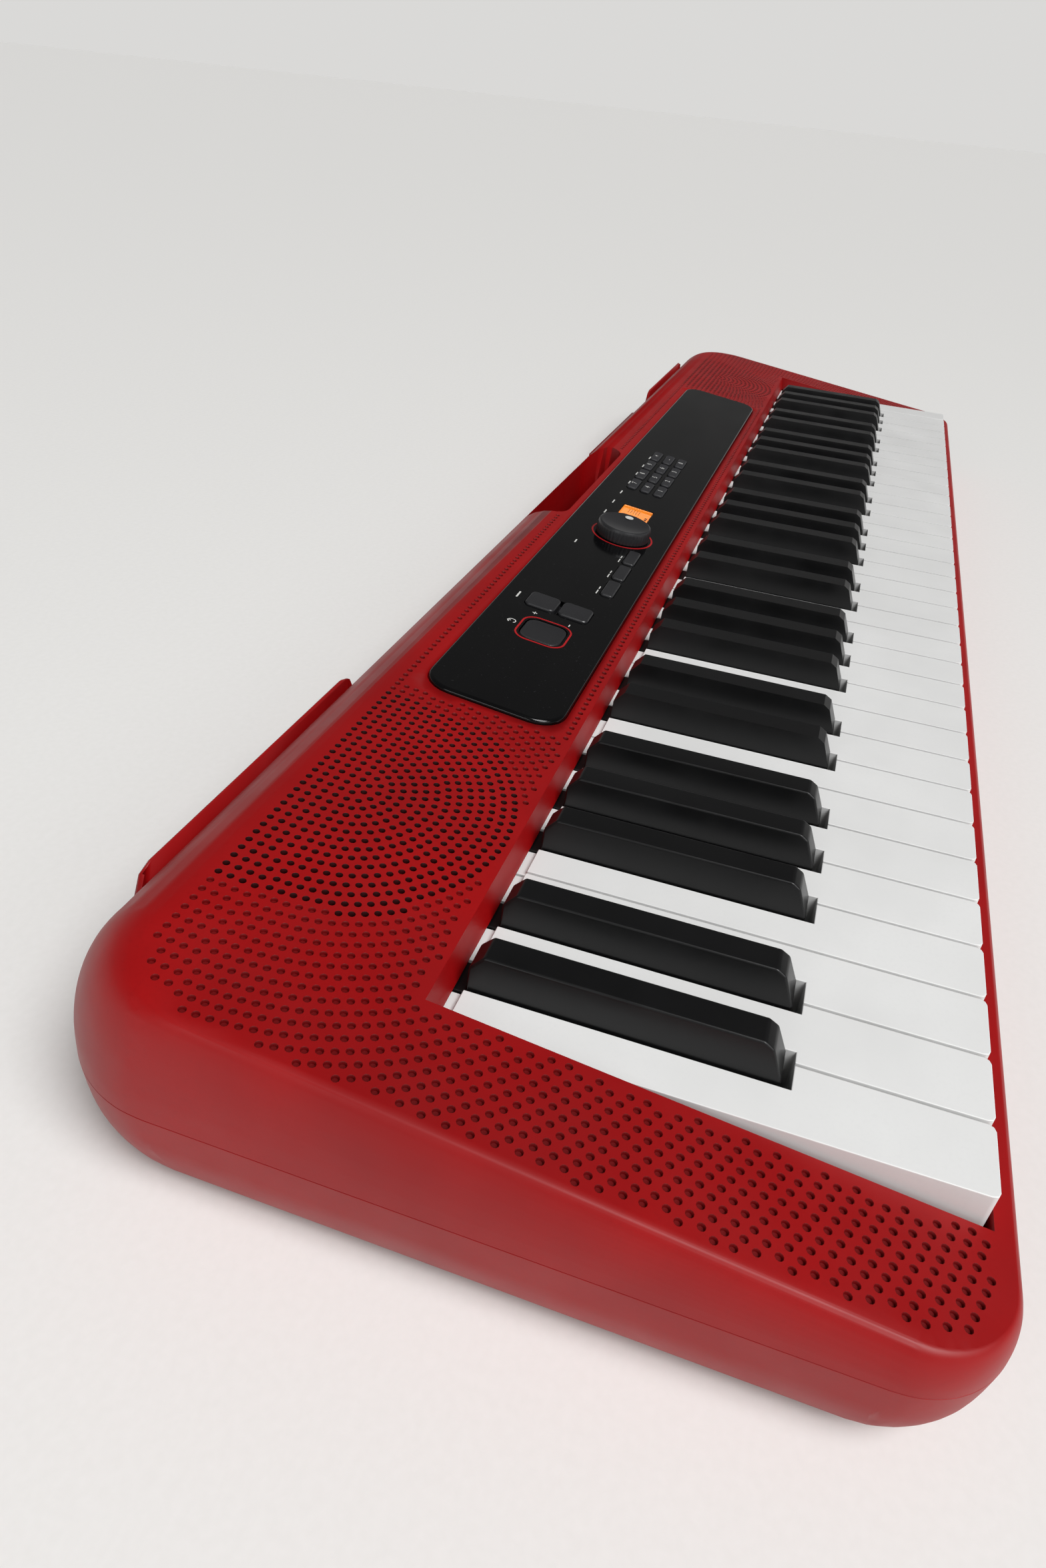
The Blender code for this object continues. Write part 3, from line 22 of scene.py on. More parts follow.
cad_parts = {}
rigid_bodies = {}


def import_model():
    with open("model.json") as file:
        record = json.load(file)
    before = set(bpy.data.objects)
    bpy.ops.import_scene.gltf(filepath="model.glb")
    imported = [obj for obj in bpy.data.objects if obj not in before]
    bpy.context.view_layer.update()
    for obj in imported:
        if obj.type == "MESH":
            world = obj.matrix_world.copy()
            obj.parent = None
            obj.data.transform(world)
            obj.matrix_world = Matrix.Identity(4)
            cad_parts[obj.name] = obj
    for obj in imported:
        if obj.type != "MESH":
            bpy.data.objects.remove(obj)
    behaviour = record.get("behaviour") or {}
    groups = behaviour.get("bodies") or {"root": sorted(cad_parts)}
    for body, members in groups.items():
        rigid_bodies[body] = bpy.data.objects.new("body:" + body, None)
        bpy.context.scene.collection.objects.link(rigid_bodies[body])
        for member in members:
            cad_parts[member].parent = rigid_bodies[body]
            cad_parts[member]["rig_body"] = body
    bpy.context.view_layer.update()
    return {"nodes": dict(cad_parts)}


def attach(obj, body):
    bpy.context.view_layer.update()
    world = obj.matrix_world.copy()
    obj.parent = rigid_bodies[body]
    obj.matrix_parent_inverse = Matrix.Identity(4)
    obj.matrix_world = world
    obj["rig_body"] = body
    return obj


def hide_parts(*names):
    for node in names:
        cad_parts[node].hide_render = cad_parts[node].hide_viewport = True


LOG = logging.getLogger("keyboard")
MM = 0.001
# The deck is triangulated in millimetres, of which a metre has this many.
PER_METRE = 1000
# Points that are closer than this are one point.
WELD = 1e-6
# Faces whose slopes differ by fewer degrees than this lie in one plane.
JOIN_ANGLE = 0.6
# A face lies flat if more than this share of its normal is along the deck's normal or upright.
FLAT = 0.9995
# A face looks out of a corner if more than this share of its normal is along the way from the corner's axis.
OUTWARD = 0.1

Point2 = tuple[float, float]
Point3 = tuple[float, float, float]


def linear(hex_colour: str) -> tuple[float, float, float, float]:
    """Turn an sRGB hex colour into linear light.

    Args:
        hex_colour: Six hex digits.

    Returns:
        Red, green, blue and an alpha of one.
    """
    channels = [int(hex_colour[i:i + 2], 16) / 255 for i in (0, 2, 4)]
    light = [c / 12.92 if c <= 0.04045 else ((c + 0.055) / 1.055) ** 2.4 for c in channels]
    return (light[0], light[1], light[2], 1.0)


class NodeTree:
    """A node tree and the way to add nodes to it."""

    def __init__(self, tree: bpy.types.NodeTree) -> None:
        """Take hold of the tree."""
        self.tree = tree

    def node(self, kind: str, inputs: dict | None = None, **settings) -> bpy.types.Node:
        """Add a node with its settings and links.

        Args:
            kind: The node's type.
            inputs: Socket name or index to a value, or to the output socket that feeds it.
            settings: The node's own properties.

        Returns:
            The node.
        """
        made = self.tree.nodes.new(kind)
        for name, value in settings.items():
            setattr(made, name, value)
        for socket, value in (inputs or {}).items():
            if isinstance(value, bpy.types.NodeSocket):
                self.tree.links.new(value, made.inputs[socket])
            else:
                made.inputs[socket].default_value = value
        return made

    def combine(self, operation: str, first: object, second: object) -> bpy.types.NodeSocket:
        """Combine two numbers, each given or fed by an output socket."""
        return self.node("ShaderNodeMath", {0: first, 1: second}, operation=operation).outputs["Value"]


class Shader(NodeTree):
    """One material and the nodes that are added to it."""

    def __init__(self, name: str) -> None:
        """Start a material that holds only its own surface shader.

        Args:
            name: The material's name.
        """
        self.material = bpy.data.materials.new(name)
        self.material.use_nodes = True
        super().__init__(self.material.node_tree)
        self.surface = self.tree.nodes["Principled BSDF"]

    def set(self, **values) -> None:
        """Set or feed the surface shader's sockets.

        Args:
            values: Each socket's value or the output that feeds it, with its name's spaces as underscores.
        """
        for name, value in values.items():
            socket = self.surface.inputs[name.replace("_", " ")]
            if isinstance(value, bpy.types.NodeSocket):
                self.tree.links.new(value, socket)
            else:
                socket.default_value = value

    def place(self, scale: Point3 = (1.0, 1.0, 1.0), turn: Point3 = (0.0, 0.0, 0.0)) -> bpy.types.NodeSocket:
        """Give object coordinates, stretched and turned for a pattern.

        Args:
            scale: How much smaller the pattern is along each axis.
            turn: How the pattern is turned, in radians.

        Returns:
            The socket that feeds a pattern's vector.
        """
        where = self.node("ShaderNodeTexCoord").outputs["Object"]
        mapping = self.node("ShaderNodeMapping", {"Vector": where, "Rotation": turn, "Scale": scale})
        return mapping.outputs["Vector"]

    def noise(self, size: float, detail: float = 2.0,
              where: bpy.types.NodeSocket | None = None) -> bpy.types.NodeSocket:
        """Noise whose blotches are about the given size across."""
        inputs = {"Vector": where or self.place(), "Scale": 1.0 / size, "Detail": detail, "Roughness": 0.55}
        return self.node("ShaderNodeTexNoise", inputs).outputs["Fac"]

    def spread(self, value: bpy.types.NodeSocket, low: float, high: float, start: float = 0.3,
               end: float = 0.7) -> bpy.types.NodeSocket:
        """Map a noise value onto a range of roughness or strength."""
        inputs = {"Value": value, "From Min": start, "From Max": end, "To Min": low, "To Max": high}
        return self.node("ShaderNodeMapRange", inputs).outputs["Result"]

    def mix(self, factor: bpy.types.NodeSocket | float, first: object,
            second: object) -> bpy.types.NodeSocket:
        """Blend two colours, through the sockets by which the mix node takes and gives colours."""
        return self.node("ShaderNodeMix", {0: factor, 6: first, 7: second}, data_type="RGBA").outputs[2]

    def bump(self, layers: Sequence[tuple[bpy.types.NodeSocket, float, float]]) -> bpy.types.NodeSocket:
        """Stack height patterns into one normal.

        Args:
            layers: For each layer its height, its strength and how high it stands in metres.

        Returns:
            The last layer's normal.
        """
        normal = None
        for height, strength, distance in layers:
            inputs = {"Height": height, "Strength": strength, "Distance": distance}
            if normal is not None:
                inputs["Normal"] = normal
            normal = self.node("ShaderNodeBump", inputs).outputs["Normal"]
        return normal


@dataclass(frozen=True)
class MouldedPlastic:
    """Injection-moulded plastic: a spark-eroded grain from the mould, slight flow marks, and handling shine.

    The grain breaks up the highlight, the flow marks shift the colour a little over some centimetres, fingers
    leave patches that are smoother than the rest, and a thick wall sinks in shallow waves as it cools.
    """

    name: str
    colour: str
    shade: str
    roughness: float
    rough_spread: float = 0.05
    grain: float = 0.45 * MM
    grain_height: float = 0.006 * MM
    flow: float = 60 * MM
    ior: float = 1.54
    coat: float = 0.0
    specular: float = 0.5
    hairlines: float = 0.0
    speck: float = 1.3 * MM
    handled: float = 24 * MM
    wave: float = 9 * MM
    wave_height: float = 0.02 * MM
    hairline: float = 3.2 * MM
    hairline_depth: float = 0.01 * MM

    def build(self) -> bpy.types.Material:
        """Build the material.

        Returns:
            The finished material.
        """
        shader = Shader(self.name)
        flow = shader.spread(shader.noise(self.flow, 3.0), 0.0, 1.0)
        speck = shader.spread(shader.noise(self.speck, 1.0), 0.0, 0.35, 0.5, 0.8)
        base = shader.mix(flow, linear(self.colour), linear(self.shade))
        shader.set(Base_Color=shader.mix(speck, base, linear(self.shade)))
        handled = shader.noise(self.handled, 4.0)
        rough = shader.spread(handled, self.roughness - self.rough_spread, self.roughness + self.rough_spread)
        shader.set(Roughness=rough, IOR=self.ior, Specular_IOR_Level=self.specular)
        shader.set(Coat_Weight=self.coat, Coat_Roughness=0.12)
        layers = [(shader.noise(self.grain, 2.0), 0.7, self.grain_height),
                  (shader.noise(self.wave, 1.0), 0.35, self.wave_height)]
        if self.hairlines:
            where = shader.place((1.0, 14.0, 14.0), (0.0, 0.0, 0.35))
            line = shader.spread(shader.noise(self.hairline, 1.0, where), 0.0, 1.0, 0.66, 0.72)
            layers.append((line, self.hairlines, -self.hairline_depth))
        shader.set(Normal=shader.bump(layers))
        return shader.material


@dataclass(frozen=True)
class GlossPanel:
    """Polished acrylic-faced panel, near black: a mirror surface with wiped smears and a little dust.

    It is slightly uneven over some centimetres, so that what it mirrors has a soft, wavering edge.
    """

    name: str = "polished black acrylic"
    colour: str = "030304"
    smear: str = "070708"
    dust: str = "2E2E30"
    wipe: float = 30 * MM
    speck: float = 0.9 * MM
    wave: float = 14 * MM
    wave_height: float = 0.012 * MM

    def build(self) -> bpy.types.Material:
        """Build the material.

        Returns:
            The finished material.
        """
        shader = Shader(self.name)
        wipe = shader.noise(self.wipe, 4.0, shader.place((0.35, 1.0, 1.0), (0.0, 0.0, 0.5)))
        specks = shader.spread(shader.noise(self.speck, 0.0), 0.0, 0.5, 0.79, 0.83)
        base = shader.mix(shader.spread(wipe, 0.0, 1.0), linear(self.colour), linear(self.smear))
        shader.set(Base_Color=shader.mix(specks, base, linear(self.dust)))
        shader.set(Roughness=shader.spread(wipe, 0.06, 0.18), IOR=1.49, Specular_IOR_Level=0.34)
        shader.set(Normal=shader.bump([(shader.noise(self.wave, 1.0), 0.25, self.wave_height)]))
        return shader.material


@dataclass(frozen=True)
class LitDisplay:
    """Backlit liquid-crystal glass: an even orange glow, a touch brighter where the lamps sit.

    The diffuser film behind the glass leaves a fine grain in the glow.
    """

    name: str = "backlit orange display"
    colour: str = "B05A06"
    near_lamp: str = "C2660A"
    glow: str = "FF8E0C"
    glow_near_lamp: str = "FF9A1C"
    film: str = "E67A08"
    strength: float = 1.25
    lamp_spread: float = 16 * MM
    film_grain: float = 0.5 * MM

    def build(self) -> bpy.types.Material:
        """Build the material.

        Returns:
            The finished material.
        """
        shader = Shader(self.name)
        lamps = shader.spread(shader.noise(self.lamp_spread, 1.0), 0.0, 1.0)
        grain = shader.spread(shader.noise(self.film_grain, 0.0), 0.0, 0.25)
        base = shader.mix(lamps, linear(self.colour), linear(self.near_lamp))
        light = shader.mix(lamps, linear(self.glow), linear(self.glow_near_lamp))
        light = shader.mix(grain, light, linear(self.film))
        shader.set(Base_Color=base, Emission_Color=light, Emission_Strength=self.strength)
        shader.set(Roughness=0.3, IOR=1.5)
        return shader.material


@dataclass(frozen=True)
class ClearAcrylic:
    """Thin clear acrylic window with a faint smoke tint and wiping marks."""

    name: str = "clear acrylic window"
    tint: str = "F4EEE6"
    smear: str = "E6DDD2"
    wipe: float = 12 * MM

    def build(self) -> bpy.types.Material:
        """Build the material.

        Returns:
            The finished material.
        """
        shader = Shader(self.name)
        wipe = shader.noise(self.wipe, 3.0)
        smeared = shader.spread(wipe, 0.0, 0.3)
        shader.set(Base_Color=shader.mix(smeared, linear(self.tint), linear(self.smear)))
        shader.set(Roughness=shader.spread(wipe, 0.01, 0.05), IOR=1.49, Transmission_Weight=1.0)
        return shader.material


@dataclass(frozen=True)
class PlatedSteel:
    """Zinc-plated sheet steel: cold-rolled lines under a thin, slightly cloudy plating."""

    name: str = "zinc plated steel"
    colour: str = "B8BABD"
    cloud: str = "9A9DA2"
    roughness: float = 0.32
    rough_spread: float = 0.08
    cloud_size: float = 6 * MM
    line_size: float = 0.5 * MM
    line_height: float = 0.006 * MM

    def build(self) -> bpy.types.Material:
        """Build the material.

        Returns:
            The finished material.
        """
        shader = Shader(self.name)
        cloud = shader.spread(shader.noise(self.cloud_size, 4.0), 0.0, 1.0)
        rolled = shader.noise(self.line_size, 2.0, shader.place((0.03, 1.0, 1.0)))
        shader.set(Base_Color=shader.mix(cloud, linear(self.colour), linear(self.cloud)), Metallic=1.0)
        low, high = self.roughness - self.rough_spread, self.roughness + self.rough_spread
        shader.set(Roughness=shader.spread(cloud, low, high))
        shader.set(Normal=shader.bump([(rolled, 0.4, self.line_height)]))
        return shader.material


@dataclass(frozen=True)
class SoftRubber:
    """Moulded silicone or rubber: matte, dark, with fine pores and dust that clings to it."""

    name: str
    colour: str
    dust: str
    roughness: float = 0.72
    smoother: float = 0.08
    rougher: float = 0.1
    dust_size: float = 2.5 * MM
    pore: float = 0.35 * MM
    pore_height: float = 0.01 * MM

    def build(self) -> bpy.types.Material:
        """Build the material.

        Returns:
            The finished material.
        """
        shader = Shader(self.name)
        cling = shader.spread(shader.noise(self.dust_size, 4.0), 0.0, 0.4, 0.45, 0.75)
        shader.set(Base_Color=shader.mix(cling, linear(self.colour), linear(self.dust)), IOR=1.45)
        low, high = self.roughness - self.smoother, self.roughness + self.rougher
        shader.set(Roughness=shader.spread(cling, low, high, 0.0, 0.4))
        shader.set(Normal=shader.bump([(shader.noise(self.pore, 2.0), 0.5, self.pore_height)]))
        return shader.material


@dataclass(frozen=True)
class CircuitBoard:
    """Fibreglass board under green solder mask: copper tracks stand up a little and read lighter."""

    name: str = "green solder mask on fibreglass"
    colour: str = "0F3D22"
    track: str = "1E6A3A"
    track_size: float = 3.4 * MM
    track_height: float = 0.03 * MM
    mask_patch: float = 8 * MM

    def build(self) -> bpy.types.Material:
        """Build the material.

        Returns:
            The finished material.
        """
        shader = Shader(self.name)
        cells = shader.noise(self.track_size, 0.0, shader.place((1.0, 1.0, 0.2)))
        tracks = shader.spread(cells, 0.0, 1.0, 0.49, 0.51)
        shader.set(Base_Color=shader.mix(tracks, linear(self.colour), linear(self.track)))
        shader.set(Roughness=shader.spread(shader.noise(self.mask_patch), 0.3, 0.42), IOR=1.5)
        shader.set(Normal=shader.bump([(tracks, 0.5, self.track_height)]))
        return shader.material


class Finish(Enum):
    """Every finish on the keyboard."""

    CASE = MouldedPlastic("moulded red ABS", "990508", "880306", 0.44, grain=0.5 * MM, specular=0.3,
                          hairlines=0.12)
    # The dimple and speaker-hole walls are a darker red than the case. This is painted shade, for the light
    # that does not reach down into them.
    DIMPLE = MouldedPlastic("red ABS in a dimple", "6E0305", "5E0204", 0.5, specular=0.25)
    HOLE = MouldedPlastic("red ABS down a speaker hole", "2E0102", "200101", 0.55, specular=0.2)
    POLISHED_CASE = MouldedPlastic("polished red ABS", "990508", "880306", 0.16, 0.04,
                                   grain_height=0.001 * MM, coat=0.3)
    WHITE_KEY = MouldedPlastic("satin white key resin", "E7E7E6", "DFDFDE", 0.34, 0.06, grain=0.35 * MM,
                               grain_height=0.002 * MM, flow=45 * MM, hairlines=0.12)
    BLACK_KEY = MouldedPlastic("satin black key resin", "080809", "0D0D0E", 0.34, 0.06, grain=0.4 * MM,
                               grain_height=0.004 * MM, flow=35 * MM, specular=0.34, hairlines=0.1)
    BUTTON = MouldedPlastic("satin black ABS", "1E1E20", "28282A", 0.36, 0.05, grain_height=0.001 * MM)
    SOCKET = MouldedPlastic("black glass-filled nylon", "151516", "202022", 0.5, grain_height=0.01 * MM)
    CHASSIS = MouldedPlastic("grey recycled ABS", "55565A", "4B4C50", 0.52, 0.07, grain_height=0.012 * MM)
    PRINT = MouldedPlastic("white screen-print ink", "D9D9D6", "C6C6C2", 0.5, grain_height=0.001 * MM)
    RED_LINE = MouldedPlastic("red screen-print ink", "B3141A", "970F14", 0.4, grain_height=0.001 * MM)
    SEGMENTS = MouldedPlastic("dark liquid-crystal segments", "5A2A03", "6A3304", 0.4,
                              grain_height=0.0005 * MM)
    PANEL = GlossPanel()
    WINDOW = ClearAcrylic()
    DISPLAY = LitDisplay()
    STEEL = PlatedSteel()
    DARK_STEEL = PlatedSteel("black zinc screw steel", "3B3B3E", "2C2C2F", 0.4)
    SILICONE = SoftRubber("charcoal silicone", "27272A", "3C3C3E", 0.55)
    RUBBER = SoftRubber("black foot rubber", "141414", "3A3836", 0.78)
    FELT = SoftRubber("red key felt", "7A1014", "8E2A2C", 0.9)
    BOARD = CircuitBoard()

    def material(self) -> bpy.types.Material:
        """Build the finish's material once and give it again on later calls."""
        found = bpy.data.materials.get(self.value.name)
        return found or self.value.build()


@dataclass(frozen=True)
class Deck:
    """The sloping top of the casing, which rises from the key fronts to the rear."""

    key_front: float = -0.119
    height: float = 0.04535
    tilt: float = math.radians(7.0)
    panel_rise: float = 1.8 * MM

    @property
    def matrix(self) -> Matrix:
        """Turn (x, v, w) on the deck into the frame's own axes."""
        return Matrix.Translation((0, self.key_front, self.height)) @ Matrix.Rotation(self.tilt, 4, "X")

    @property
    def normal(self) -> Vector:
        """The way out of the deck."""
        return Vector((0.0, -math.sin(self.tilt), math.cos(self.tilt)))


DECK = Deck()


@dataclass(frozen=True)
class Casing:
    """The casing's widest line, where its two halves meet."""

    half_length: float = 0.465
    half_depth: float = 0.128
    belt: float = 34.0 * MM
    front_radius: float = 28.0 * MM
    rear_radius: float = 40.0 * MM
    rim_height: float = 1.0 * MM

    def from_corner(self, point: Vector) -> Vector | None:
        """Find where a point lies about the axis of its corner.

        Args:
            point: A point of the casing.

        Returns:
            The way from the corner's axis at the widest line to the point, or None if it is at no corner.
        """
        radius = self.front_radius if point.y < 0 else self.rear_radius
        along = abs(point.x) - (self.half_length - radius)
        across = abs(point.y) - (self.half_depth - radius)
        if along < 0 or across < 0:
            return None
        return Vector((math.copysign(along, point.x), math.copysign(across, point.y), point.z - self.belt))

    def near_belt(self, point: Vector) -> bool:
        """Whether a point lies on the rims where the halves meet."""
        return self.from_corner(point) is not None and abs(point.z - self.belt) < self.rim_height


CASING = Casing()


def put_in_scene(name: str, data: bpy.types.ID) -> bpy.types.Object:
    """Make an object of a mesh, lamp, camera or text and link it.

    Args:
        name: The object's name.
        data: What it shows.

    Returns:
        The object, at the origin.
    """
    thing = bpy.data.objects.new(name, data)
    bpy.context.scene.collection.objects.link(thing)
    return thing


def add_piece(name: str, mesh: bpy.types.Mesh, finish: Finish | Sequence[Finish], body: str,
              replaces: Sequence[str] = (), smooth: float | None = 35.0) -> bpy.types.Object:
    """Add a finished mesh to the keyboard.

    Args:
        name: The piece's name.
        mesh: Its mesh, already in place.
        finish: Its finish, or one for each material index.
        body: The CAD body that it moves with.
        replaces: CAD nodes that it stands for.
        smooth: Edges sharper than this many degrees stay sharp, or None to keep the mesh's own shading.

    Returns:
        The new object.
    """
    piece = put_in_scene(name, mesh)
    mesh.name = name
    mesh.materials.clear()
    for one in ([finish] if isinstance(finish, Finish) else finish):
        mesh.materials.append(one.material())
    if smooth is not None:
        mesh.shade_smooth()
        mesh.set_sharp_from_angle(angle=math.radians(smooth))
    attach(piece, body)
    if replaces:
        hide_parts(*replaces)
    LOG.info("%s: %d faces on body %s", name, len(mesh.polygons), body)
    return piece


def to_mesh(bm: bmesh.types.BMesh, matrix: Matrix | None = None) -> bpy.types.Mesh:
    """Turn a working mesh into mesh data, moved into place.

    Args:
        bm: The working mesh, which is used up.
        matrix: The move, or none.

    Returns:
        The mesh data.
    """
    if matrix is not None:
        bmesh.ops.transform(bm, matrix=matrix, verts=bm.verts)
    mesh = bpy.data.meshes.new("piece")
    bm.to_mesh(mesh)
    bm.free()
    return mesh


def loft(rings: Sequence[Sequence[Point3]], close_start: bool = True,
         close_end: bool = True) -> bmesh.types.BMesh:
    """Skin equal rings of points into one body whose faces point outwards.

    Args:
        rings: The rings in order, each with the same number of points.
        close_start: Whether the first ring gets a face.
        close_end: Whether the last one does.

    Returns:
        The working mesh.
    """
    bm = bmesh.new()
    loops = [[bm.verts.new(point) for point in ring] for ring in rings]
    count = len(loops[0])
    for low, high in zip(loops, loops[1:]):
        for i in range(count):
            bm.faces.new((low[i], low[(i + 1) % count], high[(i + 1) % count], high[i]))
    if close_start:
        bm.faces.new(list(reversed(loops[0])))
    if close_end:
        bm.faces.new(loops[-1])
    bmesh.ops.recalc_face_normals(bm, faces=bm.faces)
    return bm


def merge(parts: Iterable[bmesh.types.BMesh]) -> bmesh.types.BMesh:
    """Gather several working meshes in one.

    Args:
        parts: The meshes, which are used up.

    Returns:
        One working mesh.
    """
    total = bmesh.new()
    for part in parts:
        mesh = to_mesh(part)
        total.from_mesh(mesh)
        bpy.data.meshes.remove(mesh)
    return total


def ring_points(x: float, v: float, radius: float, sides: int, w: float) -> list[Point3]:
    """A circle on the deck at height w."""
    turns = [2 * math.pi * i / sides for i in range(sides)]
    return [(x + radius * math.cos(t), v + radius * math.sin(t), w) for t in turns]


def rounded_points(x: float, v: float, width: float, depth: float, radius: float, w: float,
                   steps: int = 5) -> list[Point3]:
    """A rounded rectangle on the deck.

    Args:
        x: Its centre along the keys.
        v: Its centre up the slope.
        width: Its size along the keys.
        depth: Its size up the slope.
        radius: Its corners.
        w: Its height off the deck.
        steps: Edges in each corner.

    Returns:
        Its points, against the clock.
    """
    points = []
    corners = ((1, 1, 0), (-1, 1, 90), (-1, -1, 180), (1, -1, 270))
    for side_x, side_v, start in corners:
        for step in range(steps + 1):
            turn = math.radians(start + 90 * step / steps)
            points.append((x + side_x * (width / 2 - radius) + radius * math.cos(turn),
                           v + side_v * (depth / 2 - radius) + radius * math.sin(turn), w))
    return points


def evaluated_mesh(thing: bpy.types.Object) -> bpy.types.Mesh:
    """Apply an object's modifiers and remove the object.

    Args:
        thing: The object.

    Returns:
        The plain mesh.
    """
    bpy.context.view_layer.update()
    graph = bpy.context.evaluated_depsgraph_get()
    mesh = bpy.data.meshes.new_from_object(thing.evaluated_get(graph))
    bpy.data.objects.remove(thing)
    return mesh


def clean_copy(node: bpy.types.Object, tidy: bool = True) -> bmesh.types.BMesh:
    """Copy a CAD node's mesh and merge its loose triangles.

    Args:
        node: The node.
        tidy: Whether the triangles that lie in one plane are joined.

    Returns:
        The copy as a working mesh.
    """
    bm = bmesh.new()
    bm.from_mesh(node.data)
    bmesh.ops.remove_doubles(bm, verts=bm.verts, dist=WELD)
    return join_planes(bm) if tidy else bm


def join_planes(bm: bmesh.types.BMesh) -> bmesh.types.BMesh:
    """Join the triangles that lie in one plane, and give the mesh back."""
    bmesh.ops.dissolve_limit(bm, angle_limit=math.radians(JOIN_ANGLE), verts=bm.verts, edges=bm.edges)
    return bm


def refine_corners(bm: bmesh.types.BMesh, rounds: int = 2) -> None:
    """Halve the edges of the casing's outer corners and set the new points on the curve between the old ones.

    Args:
        bm: A housing in its own place, whose corners are made of flat facets.
        rounds: How many times each edge is halved.
    """
    for _ in range(rounds):
        bm.normal_update()
        skin = [f for f in bm.faces if faces_out_of_corner(f)]
        outward: dict = {}
        for face in skin:
            for loop in face.loops:
                outward[loop.vert] = outward.get(loop.vert, Vector()) + face.normal * loop.calc_angle()
        inside = set(skin)
        edges = {edge for face in skin for edge in face.edges}
        lifted = {}
        for edge in edges:
            middle = (edge.verts[0].co + edge.verts[1].co) / 2
            shift = Vector()
            if all(f in inside for f in edge.link_faces) or CASING.near_belt(middle):
                for vert in edge.verts:
                    normal = outward[vert].normalized()
                    shift -= normal * ((middle - vert.co).dot(normal) / 4)
            lifted[place_key(middle)] = middle + shift
        bmesh.ops.subdivide_edges(bm, edges=list(edges), cuts=1)
        for vert in bm.verts:
            spot = lifted.get(place_key(vert.co))
            if spot is not None:
                vert.co = spot
        bmesh.ops.triangulate(bm, faces=[f for f in bm.faces if len(f.verts) > 3])


def place_key(point: Vector) -> tuple[int, int, int]:
    """A point rounded to a tenth of a micrometre, to look it up again."""
    return tuple(round(c * 1e7) for c in point)


def lies_flat(face: bmesh.types.BMFace) -> bool:
    """Whether a face is part of the flat deck or the flat underside."""
    return face.normal.dot(DECK.normal) > FLAT or abs(face.normal.z) > FLAT


def faces_out_of_corner(face: bmesh.types.BMFace) -> bool:
    """Whether a face is outer skin of one of the casing's four corners."""
    out = CASING.from_corner(face.calc_center_median())
    return out is not None and not lies_flat(face) and face.normal.dot(out) > OUTWARD * out.length


def soften_edges(bm: bmesh.types.BMesh, width: float, segments: int = 2,
                 angle: float = 40.0) -> bpy.types.Mesh:
    """Round a mesh's edges as a mould tool does.

    Args:
        bm: The mesh, which is used up.
        width: How far each rounding reaches from its edge.
        segments: Faces across a rounding.
        angle: Edges flatter than this many degrees are left.

    Returns:
        The rounded mesh.
    """
    mesh = to_mesh(bm)
    mesh.shade_smooth()
    thing = put_in_scene("softened", mesh)
    rounding = thing.modifiers.new("rounding", "BEVEL")
    rounding.width = width
    rounding.segments = segments
    rounding.limit_method = "ANGLE"
    rounding.angle_limit = math.radians(angle)
    rounding.use_clamp_overlap = True
    even = thing.modifiers.new("even shading", "WEIGHTED_NORMAL")
    even.mode = "FACE_AREA_WITH_ANGLE"
    even.weight = 90
    return evaluated_mesh(thing)


class Scatter(NodeTree):
    """Geometry Nodes tree that sets one small shape on many places and makes the result real."""

    def __init__(self, name: str) -> None:
        """Build the tree with inputs for the places, the shape, its turn and its finish.

        Args:
            name: The tree's name.
        """
        super().__init__(bpy.data.node_groups.new(name, "GeometryNodeTree"))
        self.sockets = {}
        kinds = {"Places": "Geometry", "Shape": "Object", "Turn": "Vector", "Finish": "Material"}
        for label, kind in kinds.items():
            socket = self.tree.interface.new_socket(label, in_out="INPUT", socket_type=f"NodeSocket{kind}")
            self.sockets[label] = socket.identifier
        self.tree.interface.new_socket("Pieces", in_out="OUTPUT", socket_type="NodeSocketGeometry")
        given = self.node("NodeGroupInput").outputs
        shape = self.node("GeometryNodeObjectInfo", {"Object": given["Shape"]}).outputs["Geometry"]
        points = self.node("GeometryNodeMeshToPoints", {"Mesh": given["Places"]}).outputs["Points"]
        inputs = {"Points": points, "Instance": shape, "Rotation": given["Turn"]}
        rows = self.node("GeometryNodeInstanceOnPoints", inputs).outputs["Instances"]
        real = self.node("GeometryNodeRealizeInstances", {"Geometry": rows}).outputs["Geometry"]
        inputs = {"Geometry": real, "Material": given["Finish"]}
        dressed = self.node("GeometryNodeSetMaterial", inputs).outputs["Geometry"]
        self.node("NodeGroupOutput", {"Pieces": dressed})

    def run(self, places: Sequence[Point3], shape: bpy.types.Mesh, finish: Finish,
            turn: Point3 = (0.0, 0.0, 0.0)) -> bpy.types.Mesh:
        """Set the shape on every place.

        Args:
            places: Where each copy goes.
            shape: The small mesh, about its own zero.
            finish: Its finish.
            turn: How each copy is turned.

        Returns:
            One plain mesh with every copy in it.
        """
        spots = bpy.data.meshes.new("spots")
        spots.from_pydata([tuple(p) for p in places], [], [])
        host = put_in_scene("spots", spots)
        tool = put_in_scene("shape", shape)
        grown = host.modifiers.new("scatter", "NODES")
        grown.node_group = self.tree
        for label, value in (("Shape", tool), ("Turn", turn), ("Finish", finish.material())):
            grown[self.sockets[label]] = value
        mesh = evaluated_mesh(host)
        bpy.data.objects.remove(tool)
        return mesh


